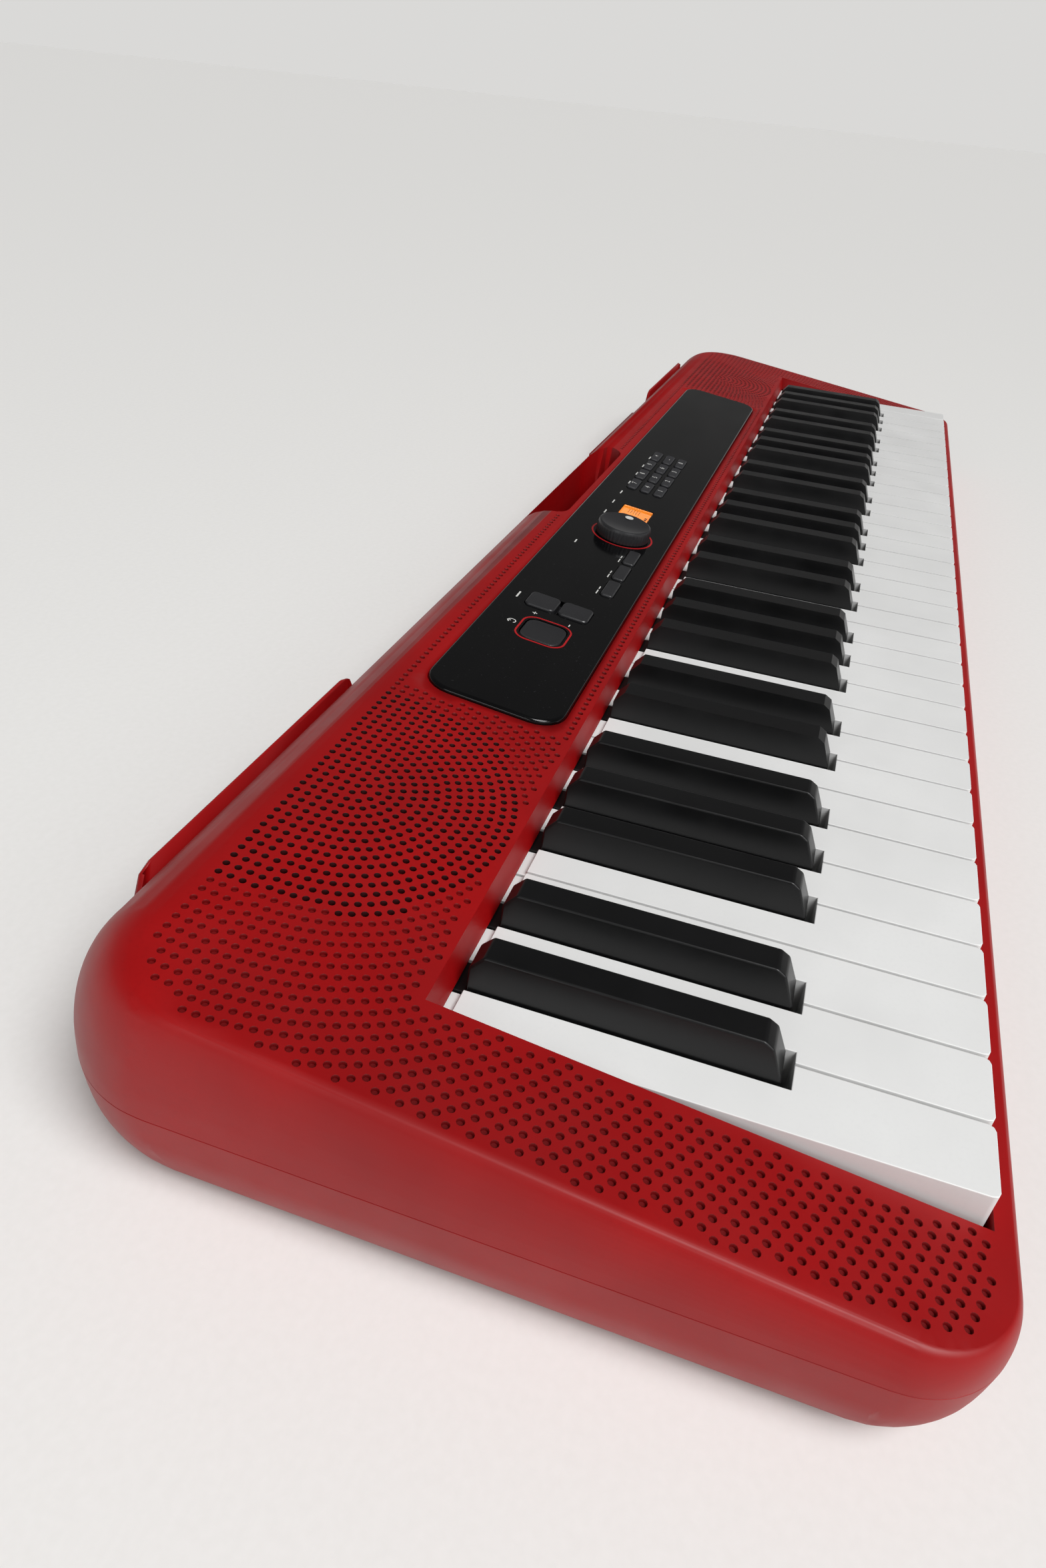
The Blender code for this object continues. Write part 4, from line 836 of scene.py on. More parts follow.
@dataclass
class Perforations:
    """Where the deck's small round holes are.

    Straight rows run behind each speaker's middle line, rings run in front of it and down the cheeks, and
    straight rows again run behind and in front of the panel. Places are level: (x, distance behind the key
    fronts).
    """

    centre_x: float = 352 * MM
    centre_behind: float = 200.8 * MM
    row_pitch: float = 3.8 * MM
    column_pitch: float = 4.1 * MM
    ring_pitch_x: float = 4.0 * MM
    ring_pitch_y: float = 3.65 * MM
    along_ring: float = 3.75 * MM
    ring_count: int = 64
    strip_end: float = 285 * MM
    row_reach: float = 110 * MM
    rear_row: float = 219.8 * MM
    front_row: float = 149.6 * MM
    radius: float = 1.0 * MM
    edge_margin: float = 2.6 * MM
    least_pitch: float = 2.9 * MM
    grille_half: Point2 = (57.5 * MM, 41 * MM)
    grille_shoulder: float = 190 * MM

    def places(self) -> list[Point2]:
        """Find every hole, before the deck's edges are kept clear.

        Returns:
            The holes' places.
        """
        found = []
        for side in (-1, 1):
            found += [(side * x, y) for x, y in self._rows() + self._rings()]
        return found + self._panel_rows()

    def _columns(self, centre: float, reach: float) -> list[float]:
        """Where the columns of straight rows stand, out to the reach on both sides of their centre."""
        count = int(reach / self.column_pitch)
        return [centre + i * self.column_pitch for i in range(-count, count + 1)]

    def _rows(self) -> list[Point2]:
        """Find the straight rows behind the treble speaker's middle line.

        Returns:
            Their places.
        """
        rows = round((self.rear_row - self.centre_behind) / self.row_pitch)
        columns = self._columns(self.centre_x, self.row_reach)
        return [(x, self.centre_behind + (j + 1) * self.row_pitch) for j in range(rows) for x in columns
                if x > self.strip_end]

    def _rings(self) -> list[Point2]:
        """Find the rings in front of the treble speaker's middle line, from that line round to the front.

        Returns:
            Their places, which begin with the rings' centre.
        """
        points = [(self.centre_x, self.centre_behind)]
        for ring in range(1, self.ring_count):
            a, b = ring * self.ring_pitch_x, ring * self.ring_pitch_y
            half = math.pi * (a + b) / 2
            count = max(2, round(half / self.along_ring))
            for i in range(count + 1):
                turn = math.pi * i / count
                x, y = self.centre_x + a * math.cos(turn), self.centre_behind - b * math.sin(turn)
                if x > self.strip_end and y > 0:
                    points.append((x, y))
        return points

    def _panel_rows(self) -> list[Point2]:
        """Two rows behind the panel and one in front of it."""
        rows = [self.rear_row, self.rear_row - self.row_pitch, self.front_row]
        return [(x, y) for y in rows for x in self._columns(0.0, self.strip_end)]

    def goes_through(self, x: float, y: float) -> bool:
        """Tell whether a hole lies over a speaker, where it goes right through the deck.

        Args:
            x: The hole's place along the keys.
            y: Its level distance behind the key fronts.

        Returns:
            True for a hole through the deck, and False for a dimple.
        """
        across = (abs(x) - self.centre_x) / self.grille_half[0]
        forward = max(0.0, self.grille_shoulder - y) / self.grille_half[1]
        return across ** 2 + forward ** 2 <= 1.0


@dataclass
class UpperHousing:
    """Upper half of the casing, with its perforated deck as one plate and the holes' walls as further pieces.

    The CAD's coarse speaker holes and the polished wall are known by where they lie in deck coordinates.
    """

    nodes: dict
    holes: Perforations = field(default_factory=Perforations)
    sides: int = 10
    lip: float = 0.14 * MM
    taper: float = 0.9
    dimple_depth: float = 1.0 * MM
    deck_thickness: float = 2.4 * MM
    plane_slack: float = 0.02 * MM
    slack_in_mm: float = 1e-4
    look_back: int = 400
    grid: float = 4.0 * MM
    within_hole: float = 0.93
    coarse_x: Point2 = (0.289, 0.413)
    coarse_v: Point2 = (0.151, 0.2225)
    coarse_depth: float = 3.5 * MM
    coarse_upright: float = 0.4
    polished_half: float = 0.4255
    polished_v: Point2 = (0.143, 0.1515)
    polished_depth: float = 22.0 * MM
    polished_lean: float = 0.6

    def build(self) -> None:
        """Build the housing's skin and the walls of its holes."""
        bm = clean_copy(self.nodes["upper_case"], tidy=False)
        refine_corners(bm)
        bmesh.ops.transform(bm, matrix=DECK.matrix.inverted(), verts=bm.verts)
        segments, walls = self._open_plateau(bm)
        dots = self._clear_dots(segments)
        bmesh.ops.delete(bm, geom=walls, context="FACES")
        self._fill_plateau(bm, segments, dots)
        bmesh.ops.remove_doubles(bm, verts=bm.verts, dist=WELD)
        self._mark_polished_wall(bm)
        skin = to_mesh(bm, DECK.matrix)
        finishes = (Finish.CASE, Finish.POLISHED_CASE)
        add_piece("upper_housing", skin, finishes, "case", ["upper_case"], 28.0)
        scatter = Scatter("hole walls")
        turn = (DECK.tilt, 0.0, 0.0)
        for name, deep in (("deck_dimples", False), ("speaker_holes", True)):
            places = [DECK.matrix @ Vector((x, v, 0.0)) for x, v, through in dots if through == deep]
            # Both wall finishes are darker than the case: painted shade inside the dimples and the speaker
            # holes.
            finish = Finish.HOLE if deep else Finish.DIMPLE
            mesh = scatter.run(places, self._hole_wall(deep), finish, turn)
            add_piece(name, mesh, finish, "case", smooth=50.0)

    def _open_plateau(self, bm: bmesh.types.BMesh) -> tuple[np.ndarray, list]:
        """Remove the flat deck.

        Args:
            bm: The housing in deck coordinates.

        Returns:
            The deck's outline as segments of (x, v), and the walls of the CAD's coarse speaker holes.
        """
        top = {f for f in bm.faces if all(abs(v.co.z) < self.plane_slack for v in f.verts)}
        walls = [f for f in bm.faces if f not in top and self._is_coarse_hole_wall(f)]
        wall_set = set(walls)
        outline = []
        for edge in bm.edges:
            flat = [f for f in edge.link_faces if f in top]
            if len(flat) == 1 and not any(f in wall_set for f in edge.link_faces):
                outline.append([edge.verts[0].co.xy[:], edge.verts[1].co.xy[:]])
        bmesh.ops.delete(bm, geom=list(top), context="FACES_ONLY")
        return np.array(outline), [f for f in walls if f.is_valid]

    def _is_coarse_hole_wall(self, face: bmesh.types.BMFace) -> bool:
        """Tell whether a face belongs to one of the CAD's speaker holes.

        Args:
            face: A face of the housing in deck coordinates.

        Returns:
            True for a wall of such a hole.
        """
        centre = face.calc_center_median()
        over_speaker = (self.coarse_x[0] < abs(centre.x) < self.coarse_x[1]
                        and self.coarse_v[0] < centre.y < self.coarse_v[1])
        upright = abs(face.normal.z) < self.coarse_upright
        return over_speaker and upright and -self.coarse_depth < centre.z < 0.0

    def _clear_dots(self, segments: np.ndarray) -> list[tuple[float, float, bool]]:
        """Keep the holes that lie on the deck and clear of its edges.

        Where two holes would nearly meet, the first stays. They are sorted along the keys, so that only the
        last ones before a hole can be near it.

        Args:
            segments: The deck's outline.

        Returns:
            Each hole's x, its place up the slope, and whether it goes through.
        """
        level = np.array(sorted(set(self.holes.places())))
        slope = np.column_stack([level[:, 0], level[:, 1] / math.cos(DECK.tilt)])
        start, end = segments[:, 0], segments[:, 1]
        run = end - start
        share = np.einsum("psk,sk->ps", slope[:, None, :] - start[None], run) / (run ** 2).sum(1)
        near = start[None] + np.clip(share, 0, 1)[..., None] * run[None]
        distance = np.linalg.norm(slope[:, None, :] - near, axis=2).min(1)
        keep = self._inside(slope, segments) & (distance > self.holes.edge_margin)
        dots, kept = [], []
        for (x, v), (_, y) in zip(slope[keep], level[keep]):
            recent = kept[-self.look_back:]
            if all((x - a) ** 2 + (v - b) ** 2 > self.holes.least_pitch ** 2 for a, b in recent):
                kept.append((x, v))
                dots.append((float(x), float(v), self.holes.goes_through(float(x), float(y))))
        return dots

    @staticmethod
    def _inside(points: np.ndarray, segments: np.ndarray) -> np.ndarray:
        """Find the points inside the outline by counting the edges that a ray from each crosses.

        Args:
            points: Places on the deck.
            segments: The outline.

        Returns:
            One true or false for each point.
        """
        x, y = points[:, 0][:, None], points[:, 1][:, None]
        x1, y1, x2, y2 = segments[:, 0, 0], segments[:, 0, 1], segments[:, 1, 0], segments[:, 1, 1]
        spans = (y1 > y) != (y2 > y)
        rise = np.where(y2 == y1, 1.0, y2 - y1)
        crosses = spans & (x < (x2 - x1) * (y - y1) / rise + x1)
        return crosses.sum(1) % 2 == 1

    def _fill_plateau(self, bm: bmesh.types.BMesh, segments: np.ndarray, dots: list) -> None:
        """Fill the deck's outline with a plate that is open at every hole.

        Args:
            bm: The housing without its flat deck, in deck coordinates.
            segments: The deck's outline.
            dots: The holes.
        """
        reach = self.holes.radius + self.lip
        points = [Vector(p) * PER_METRE for pair in segments for p in pair]
        edges = [(i, i + 1) for i in range(0, len(points), 2)]
        for x, v, _ in dots:
            first = len(points)
            points += [Vector(p[:2]) * PER_METRE for p in ring_points(x, v, reach, self.sides, 0.0)]
            edges += [(first + i, first + (i + 1) % self.sides) for i in range(self.sides)]
        found, _, faces, *_ = delaunay_2d_cdt(points, edges, [], 0, self.slack_in_mm)
        flat = np.array([p[:] for p in found]) / PER_METRE
        triangles = np.array([f for f in faces if len(f) == 3])
        centres = flat[triangles].mean(1)
        solid = self._inside(centres, segments) & ~self._in_hole(centres, dots, reach)
        verts = [bm.verts.new((x, y, 0.0)) for x, y in flat]
        for a, b, c in triangles[solid]:
            bm.faces.new((verts[a], verts[b], verts[c]))
        bmesh.ops.delete(bm, geom=[v for v in verts if not v.link_faces], context="VERTS")

    def _in_hole(self, centres: np.ndarray, dots: list, reach: float) -> np.ndarray:
        """Find the triangles that fill a hole, with the holes sorted into the cells of a grid.

        Args:
            centres: The triangles' centres.
            dots: The holes.
            reach: Each hole's radius with its lip.

        Returns:
            One true or false for each triangle.
        """
        cells: dict = {}
        for x, v, _ in dots:
            cells.setdefault((round(x / self.grid), round(v / self.grid)), []).append((x, v))
        inside = np.zeros(len(centres), bool)
        for i, (x, v) in enumerate(centres):
            column, row = round(x / self.grid), round(v / self.grid)
            near = [p for a in (-1, 0, 1) for b in (-1, 0, 1) for p in cells.get((column + a, row + b), ())]
            inside[i] = any((x - a) ** 2 + (v - b) ** 2 < (self.within_hole * reach) ** 2 for a, b in near)
        return inside

    def _mark_polished_wall(self, bm: bmesh.types.BMesh) -> None:
        """Give the leaning wall behind the keys its polished finish.

        Args:
            bm: The housing in deck coordinates.
        """
        bm.normal_update()
        for face in bm.faces:
            centre = face.calc_center_median()
            leaning = face.normal.y < -self.polished_lean and centre.z > -self.polished_depth
            behind = self.polished_v[0] < centre.y < self.polished_v[1]
            within = abs(centre.x) < self.polished_half
            face.material_index = 1 if leaning and behind and within else 0

    def _hole_wall(self, through: bool) -> bpy.types.Mesh:
        """Make one hole's wall: a small slanting lip, then a slightly tapered side.

        Args:
            through: Whether the hole goes through the deck. A dimple gets a floor.

        Returns:
            The wall about its own zero, with its faces turned to the hole's middle.
        """
        radius = self.holes.radius
        depth = self.deck_thickness if through else self.dimple_depth
        levels = [(radius + self.lip, 0.0), (radius, -self.lip), (radius * self.taper, -depth)]
        rings = [ring_points(0.0, 0.0, r, self.sides, w) for r, w in levels]
        bm = loft(rings, close_start=False, close_end=False)
        if not through:
            low = [v for v in bm.verts if v.co.z < -depth + WELD]
            low.sort(key=lambda v: math.atan2(v.co.y, v.co.x))
            bm.faces.new(low)
        for face in bm.faces:
            centre = face.calc_center_median()
            is_floor = centre.xy.length < 0.01 * MM
            inward = Vector((0, 0, 1)) if is_floor else Vector((-centre.x, -centre.y, 0.3 * MM))
            if face.normal.dot(inward) < 0:
                face.normal_flip()
        return to_mesh(bm)


@dataclass
class LowerHousing:
    """Lower half of the casing, battery cover and feet, with the screws and vents underneath."""

    nodes: dict
    edge: float = 0.5 * MM
    cover_edge: float = 0.35 * MM
    foot_edge: float = 0.4 * MM
    underside: float = 3.0 * MM
    screw_rows: Sequence[Point2] = (
        (-0.438, -0.095), (-0.29, -0.108), (-0.12, -0.108), (0.05, -0.108), (0.22, -0.108), (0.37, -0.108),
        (0.438, -0.07), (-0.438, 0.07), (-0.33, 0.1), (0.16, 0.1), (0.3, 0.1), (0.438, 0.06), (-0.2, 0.04),
        (0.2, 0.04))
    screw_radius: float = 3.4 * MM
    screw_rim: float = 1.2 * MM
    screw_gap: float = 0.3 * MM
    vent_size: Point2 = (26 * MM, 1.8 * MM)
    vent_start: Point2 = (110 * MM, 65 * MM)
    vent_pitch: Point2 = (34 * MM, 5 * MM)
    vent_count: tuple[int, int] = (3, 4)

    def build(self) -> None:
        """Build the pieces."""
        tray = clean_copy(self.nodes["lower_case"], tidy=False)
        refine_corners(tray)
        lower = soften_edges(join_planes(tray), self.edge, 2, 50.0)
        add_piece("lower_housing", lower, Finish.CASE, "case", ["lower_case"], None)
        cover = soften_edges(clean_copy(self.nodes["battery_cover"]), self.cover_edge, 2)
        add_piece("battery_door", cover, Finish.CASE, "battery_cover", ["battery_cover"], None)
        for name in ("foot_front_bass", "foot_front_treble", "foot_rear_bass", "foot_rear_treble"):
            foot = soften_edges(clean_copy(self.nodes[name]), self.foot_edge, 2, 30.0)
            add_piece(f"rubber_{name}", foot, Finish.RUBBER, "case", [name], None)
        self._screws()
        self._vents()

    def _screws(self) -> None:
        """Cross-head screws sunk in the underside."""
        places = [(x, y, self.underside) for x, y in self.screw_rows]
        inner, rim = self.screw_radius, self.screw_rim
        levels = ((inner + rim, 0.0), (inner + rim * 0.6, -0.25 * MM), (inner, -0.3 * MM), (inner, 0.1 * MM))
        cup = [ring_points(0, 0, r, 16, w) for r, w in levels]
        scatter = Scatter("case screws")
        mesh = scatter.run(places, to_mesh(loft(cup, close_start=False, close_end=False)), Finish.CASE)
        add_piece("screw_collars", mesh, Finish.CASE, "case", smooth=40.0)
        mesh = scatter.run(places, self._screw_head(), Finish.DARK_STEEL)
        add_piece("case_screws", mesh, Finish.DARK_STEEL, "case", smooth=30.0)

    def _screw_head(self) -> bpy.types.Mesh:
        """Make a pan head with a cross recess, seen from below.

        Returns:
            The head about its own zero.
        """
        radius = self.screw_radius - self.screw_gap
        arm, width = radius * 0.55, radius * 0.16
        cross = [(arm, width), (width, width), (width, arm)]
        for _ in range(3):
            cross += [(-y, x) for x, y in cross[-3:]]
        turns = [math.atan2(y, x) for x, y in cross]
        outer = [(radius * math.cos(t), radius * math.sin(t)) for t in turns]
        levels = [(outer, 0.0), (outer, -0.1 * MM), ([(0.8 * x, 0.8 * y) for x, y in outer], -0.28 * MM),
                  (cross, -0.3 * MM), ([(0.7 * x, 0.7 * y) for x, y in cross], 0.6 * MM)]
        return to_mesh(loft([[(x, y, z) for x, y in ring] for ring, z in levels], close_start=False))

    def _vents(self) -> None:
        """Short cooling slots under the main board, each a low frame with a sunk middle."""
        width, depth = self.vent_size
        columns, rows = ([start + i * pitch for i in range(count)] for start, pitch, count in
                         zip(self.vent_start, self.vent_pitch, self.vent_count))
        places = [(x, y, self.underside) for x in columns for y in rows]
        levels = [(1.6 * MM, 0.0), (1.1 * MM, -0.22 * MM), (0.5 * MM, -0.22 * MM), (0.0, 0.05 * MM)]
        rings = [rounded_points(0, 0, width + grow, depth + grow, (depth + grow) / 2.02, w, 4)
                 for grow, w in levels]
        mesh = Scatter("vents").run(places, to_mesh(loft(rings, close_start=False)), Finish.CASE)
        add_piece("underside_vents", mesh, Finish.CASE, "case", smooth=40.0)


@dataclass
class Keys:
    """White and black keys with the small roundings of their mould."""

    nodes: dict
    white_edge: float = 0.45 * MM
    black_edge: float = 0.75 * MM

    def build(self) -> None:
        """Replace each key or comb by a copy with rounded edges."""
        for name, node in self.nodes.items():
            if not name.startswith(("key_", "keys_")) or node["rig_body"] == "case":
                continue
            if "sharp" in name or "black" in name:
                edge, segments, finish, slot = self.black_edge, 3, Finish.BLACK_KEY, "black_key_resin"
            else:
                edge, segments, finish, slot = self.white_edge, 2, Finish.WHITE_KEY, "white_key_resin"
            mesh = soften_edges(clean_copy(node), edge, segments, 32.0)
            add_piece(f"rounded_{name}", mesh, finish, node["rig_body"], [name], None)


@dataclass
class ControlPanel:
    """Gloss panel, its buttons, dial and display, and the marks on them.

    Places are (x, distance up the slope from the panel's front edge). A bar is its place and its size, and a
    level of the dial is how far it stays inside the dial's radius, its height, and how deep its flutes are.
    """

    nodes: dict
    front: float = 154.7 * MM
    edge: float = 0.3 * MM
    window_edge: float = 0.2 * MM
    number_edge: float = 0.35 * MM
    print_lift: float = 0.03 * MM
    sunk: float = 0.02 * MM
    line_lift: float = 0.12 * MM
    power: Point2 = (-0.212, 27.9 * MM)
    power_ring: Point3 = (21.6 * MM, 21.2 * MM, 5.8 * MM)
    power_line: float = 0.8 * MM
    power_sign: Point2 = (-0.2112, 42.8 * MM)
    sign_radii: Point2 = (1.5 * MM, 1.95 * MM)
    sign_steps: int = 24
    sign_start: float = 125.0
    sign_turn: float = 290.0
    functions: Point2 = (-0.1484, 13.7 * MM)
    function_pitch: float = 22.0 * MM
    function_labels: Sequence[Point2] = ((-6.6 * MM, 4.6 * MM), (-1.6 * MM, 3.2 * MM))
    plus_sign: Point2 = (-0.1973, 36.6 * MM)
    minus_sign: Point2 = (-0.1984, 20.0 * MM)
    sign_size: Point2 = (2.3 * MM, 0.5 * MM)
    labels: Sequence[tuple[float, float, float, float]] = (
        (-0.1846, 48.7 * MM, 6.4 * MM, 0.8 * MM), (-0.1041, 44.2 * MM, 4.4 * MM, 0.7 * MM))
    number_labels: Sequence[float] = (-0.050, -0.031, -0.012, 0.009, 0.029, 0.047, 0.067)
    number_label: Point3 = (42.2 * MM, 5.6 * MM, 0.7 * MM)
    dial: Point2 = (-0.077, 25.6 * MM)
    dial_radius: float = 14.5 * MM
    dial_height: float = 7.2 * MM
    dial_gap: float = 0.3 * MM
    dial_line: Point2 = (1.3 * MM, 2.2 * MM)
    flutes: int = 48
    flute_depth: float = 0.28 * MM
    skirt: Sequence[Point3] = ((0.2 * MM, 0.0, 0.0), (0.0, 0.5 * MM, 1.0))
    crown: Sequence[Point3] = (
        (0.1 * MM, -2.0 * MM, 1.0), (0.35 * MM, -1.1 * MM, 0.0), (0.7 * MM, -0.35 * MM, 0.0),
        (1.4 * MM, 0.0, 0.0), (2.4 * MM, -0.1 * MM, 0.0), (4.0 * MM, -0.55 * MM, 0.0),
        (12.5 * MM, -0.9 * MM, 0.0))
    finger_mark: float = 9.3 * MM
    finger_levels: Sequence[Point2] = (
        (2.3 * MM, -0.25 * MM), (1.9 * MM, -0.1 * MM), (1.5 * MM, -0.12 * MM), (0.8 * MM, -0.3 * MM))
    display: Point2 = (-0.0444, 27.0 * MM)
    display_depth: float = 3.58 * MM
    segment_lift: float = 0.04 * MM
    stroke: float = 0.75 * MM
    digit_tall: float = 4.4 * MM
    digit_wide: float = 3.6 * MM
    digit_pitch: float = 6.4 * MM
    keypad: Point2 = (0.04, 30.6 * MM)
    keypad_pitch: Point2 = (21.5 * MM, 8.2 * MM)
    key_rise: float = 2.8 * MM
    letter: float = 4.4 * MM

    def build(self) -> None:
        """Build every piece of the panel."""
        buttons = ("power_button", "volume_up_button", "volume_down_button", "function_button_1",
                   "function_button_2", "function_button_3")
        black = "gloss_black_panel"
        dressed = [("control_panel", "panel_face", Finish.PANEL, "case", black, (self.edge, 2, 30.0)),
                   ("display_window", "window", Finish.WINDOW, "case", "clear_window", (self.window_edge,))]
        dressed += [(button, f"gloss_{button}", Finish.BUTTON, button, black, (self.edge, 3, 30.0))
                    for button in buttons]
        dressed.append(("number_keypad", "soft_number_keys", Finish.SILICONE, "number_keypad",
                        "grey_silicone", (self.number_edge, 2, 30.0)))
        for node, name, finish, body, slot, rounding in dressed:
            mesh = soften_edges(clean_copy(self.nodes[node]), *rounding)
            add_piece(name, mesh, finish, body, [node], None)
        self._dial()
        self._lines()
        self._marks()
        self._digits()
        self._segments()

    def at(self, place: Point2) -> Point2:
        """Turn a place on the panel into one on the deck."""
        return (place[0], self.front + place[1])

    @staticmethod
    def _print(name: str, parts: Iterable[bmesh.types.BMesh], finish: Finish, body: str, slot: str) -> None:
        """Add small shapes on the deck as one piece that replaces no CAD node."""
        add_piece(name, to_mesh(merge(parts), DECK.matrix), finish, body, smooth=40.0)

    def _dial(self) -> None:
        """Dial with a fluted skirt, a crisp top rim and a finger dimple."""
        x, v = self.at(self.dial)
        low, top = DECK.panel_rise + self.dial_gap, DECK.panel_rise + self.dial_height
        sides = self.flutes * 4
        levels = [(inset, start + w, fluted) for start, group in ((low, self.skirt), (top, self.crown))
                  for inset, w, fluted in group]
        rings = []
        for inset, w, fluted in levels:
            ring = []
            for i in range(sides):
                turn = 2 * math.pi * i / sides
                cut = fluted * self.flute_depth * (0.5 - 0.5 * math.cos(turn * self.flutes))
                radius = self.dial_radius - inset - cut
                ring.append((x + radius * math.cos(turn), v + radius * math.sin(turn), w))
            rings.append(ring)
        knob = to_mesh(loft(rings), DECK.matrix)
        add_piece("dial", knob, Finish.BUTTON, "dial_knob", ["dial_knob"], 30.0)
        dimple = [ring_points(x + self.finger_mark, v, r, 24, top + w) for r, w in self.finger_levels]
        self._print("dial_finger_mark", [loft(dimple, close_start=False)], Finish.PRINT, "dial_knob",
                    "gloss_black_panel")

    def _band(self, inner: Sequence[Point3], outer: Sequence[Point3]) -> bmesh.types.BMesh:
        """Make a thin raised line between two outlines.

        Args:
            inner: The line's inner edge.
            outer: Its outer edge.

        Returns:
            The line as a working mesh.
        """
        foot, top = DECK.panel_rise - self.sunk, DECK.panel_rise + self.line_lift
        levels = ((inner, foot), (inner, top), (outer, top), (outer, foot))
        rings = [[(x, v, w) for x, v, _ in ring] for ring, w in levels]
        return loft(rings, close_start=False, close_end=False)

    def _lines(self) -> None:
        """Red lines round the power button and the dial."""
        width, depth, corner = self.power_ring
        button = [rounded_points(*self.at(self.power), width + 2 * out, depth + 2 * out, corner + out, 0, 8)
                  for out in (0.0, self.power_line)]
        dial = [ring_points(*self.at(self.dial), self.dial_radius + out, 96, 0) for out in self.dial_line]
        self._print("red_lines", [self._band(*button), self._band(*dial)], Finish.RED_LINE, "case", "red_abs")

    def _bar(self, x: float, v: float, width: float, depth: float) -> bmesh.types.BMesh:
        """Make a small printed bar with rounded ends.

        Args:
            x: Its middle along the keys.
            v: Its middle up the slope from the panel's front edge.
            width: Its size along the keys.
            depth: Its size up the slope.

        Returns:
            The bar as a working mesh.
        """
        corner = min(width, depth) * 0.45
        return loft([rounded_points(x, self.front + v, width, depth, corner, DECK.panel_rise + w, 3)
                     for w in (-self.sunk, self.print_lift)])

    def _marks(self) -> None:
        """Power symbol, plus and minus, and short bars that stand for the printed labels."""
        x, v = self.at(self.power_sign)
        inner, outer = self.sign_radii
        turns = [math.radians(self.sign_start + self.sign_turn * i / self.sign_steps)
                 for i in range(self.sign_steps + 1)]
        parts = []
        for a, b in zip(turns, turns[1:]):
            corners = [(x - r * math.sin(t), v - r * math.cos(t)) for r, t in
                       ((inner, a), (outer, a), (outer, b), (inner, b))]
            parts.append(loft([[(cx, cv, DECK.panel_rise + w) for cx, cv in corners]
                               for w in (-self.sunk, self.print_lift)]))
        long, thick = self.sign_size
        bars = [(self.power_sign[0], self.power_sign[1] + 1.3 * MM, 0.45 * MM, 1.9 * MM)]
        bars += [(*self.plus_sign, long, thick), (*self.plus_sign, thick, long)]
        bars.append((*self.minus_sign, long, thick))
        first, behind = self.functions
        bars += [(first + i * self.function_pitch + aside, behind + 5.0 * MM, width, 0.55 * MM)
                 for i in range(3) for aside, width in self.function_labels]
        bars += self.labels
        bars += [(place, *self.number_label) for place in self.number_labels]
        parts += [self._bar(*bar) for bar in bars]
        self._print("printed_marks", parts, Finish.PRINT, "case", "gloss_black_panel")

    def _digits(self) -> None:
        """Digits and signs on the number keys."""
        parts = []
        for row, words in enumerate(("789+", "456-", "1230")):
            for column, word in enumerate(words):
                curve = bpy.data.curves.new("digit", "FONT")
                curve.body = word
                curve.size = self.letter
                curve.align_x = "CENTER"
                curve.align_y = "CENTER"
                curve.extrude = self.print_lift
                mesh = evaluated_mesh(put_in_scene("digit", curve))
                x = self.keypad[0] + (column - 1.5) * self.keypad_pitch[0]
                v = self.front + self.keypad[1] + (1 - row) * self.keypad_pitch[1]
                bm = bmesh.new()
                bm.from_mesh(mesh)
                bmesh.ops.remove_doubles(bm, verts=bm.verts, dist=WELD)
                bmesh.ops.translate(bm, verts=bm.verts, vec=(x, v, self.key_rise + 0.01 * MM))
                parts.append(bm)
        self._print("key_digits", parts, Finish.PRINT, "number_keypad", "grey_silicone")

    def _segments(self) -> None:
        """Dark segments on the display: a three-digit number, a small staff and a row of dashes."""
        x, v = self.at(self.display)
        stroke, tall, wide = self.stroke, self.digit_tall, self.digit_wide
        bars = {letter: (0, rise * tall, wide, stroke) for letter, rise in (("a", 1), ("g", 0), ("d", -1))}
        bars |= {letter: (side * wide / 2, rise * tall / 2, stroke, tall - stroke)
                 for letter, side, rise in (("b", 1, 1), ("c", 1, -1), ("f", -1, 1), ("e", -1, -1))}
        shown = []
        for place, letters in enumerate(("bc", "abged", "abcdef")):
            centre_x, centre_v = place * self.digit_pitch - 11.5 * MM, 2.2 * MM
            for dx, dv, width, depth in (bars[letter] for letter in letters):
                shown.append((centre_x + dx, centre_v + dv, width, depth))
        shown += [(9.8 * MM, (line - 1) * 1.5 * MM, 7 * MM, 0.22 * MM) for line in range(5)]
        shown += [(step * 2.6 * MM - 13 * MM, -6.6 * MM, 1.6 * MM, 1.4 * MM) for step in range(8)]
        parts = [self._segment(x + dx, v + dv, width, depth) for dx, dv, width, depth in shown]
        self._print("display_segments", parts, Finish.SEGMENTS, "case", "lit_display")

    def _segment(self, x: float, v: float, width: float, depth: float) -> bmesh.types.BMesh:
        """Make one flat segment on the lit display under the window.

        Args:
            x: Its middle along the keys.
            v: Its middle up the slope.
            width: Its size along the keys.
            depth: Its size up the slope.

        Returns:
            The segment as a working mesh.
        """
        foot = DECK.panel_rise - self.display_depth
        outline = [(x + side_x * width / 2, v + side_v * depth / 2)
                   for side_x, side_v in ((-1, -1), (1, -1), (1, 1), (-1, 1))]
        return loft([[(px, pv, foot + w) for px, pv in outline] for w in (0.0, self.segment_lift)])


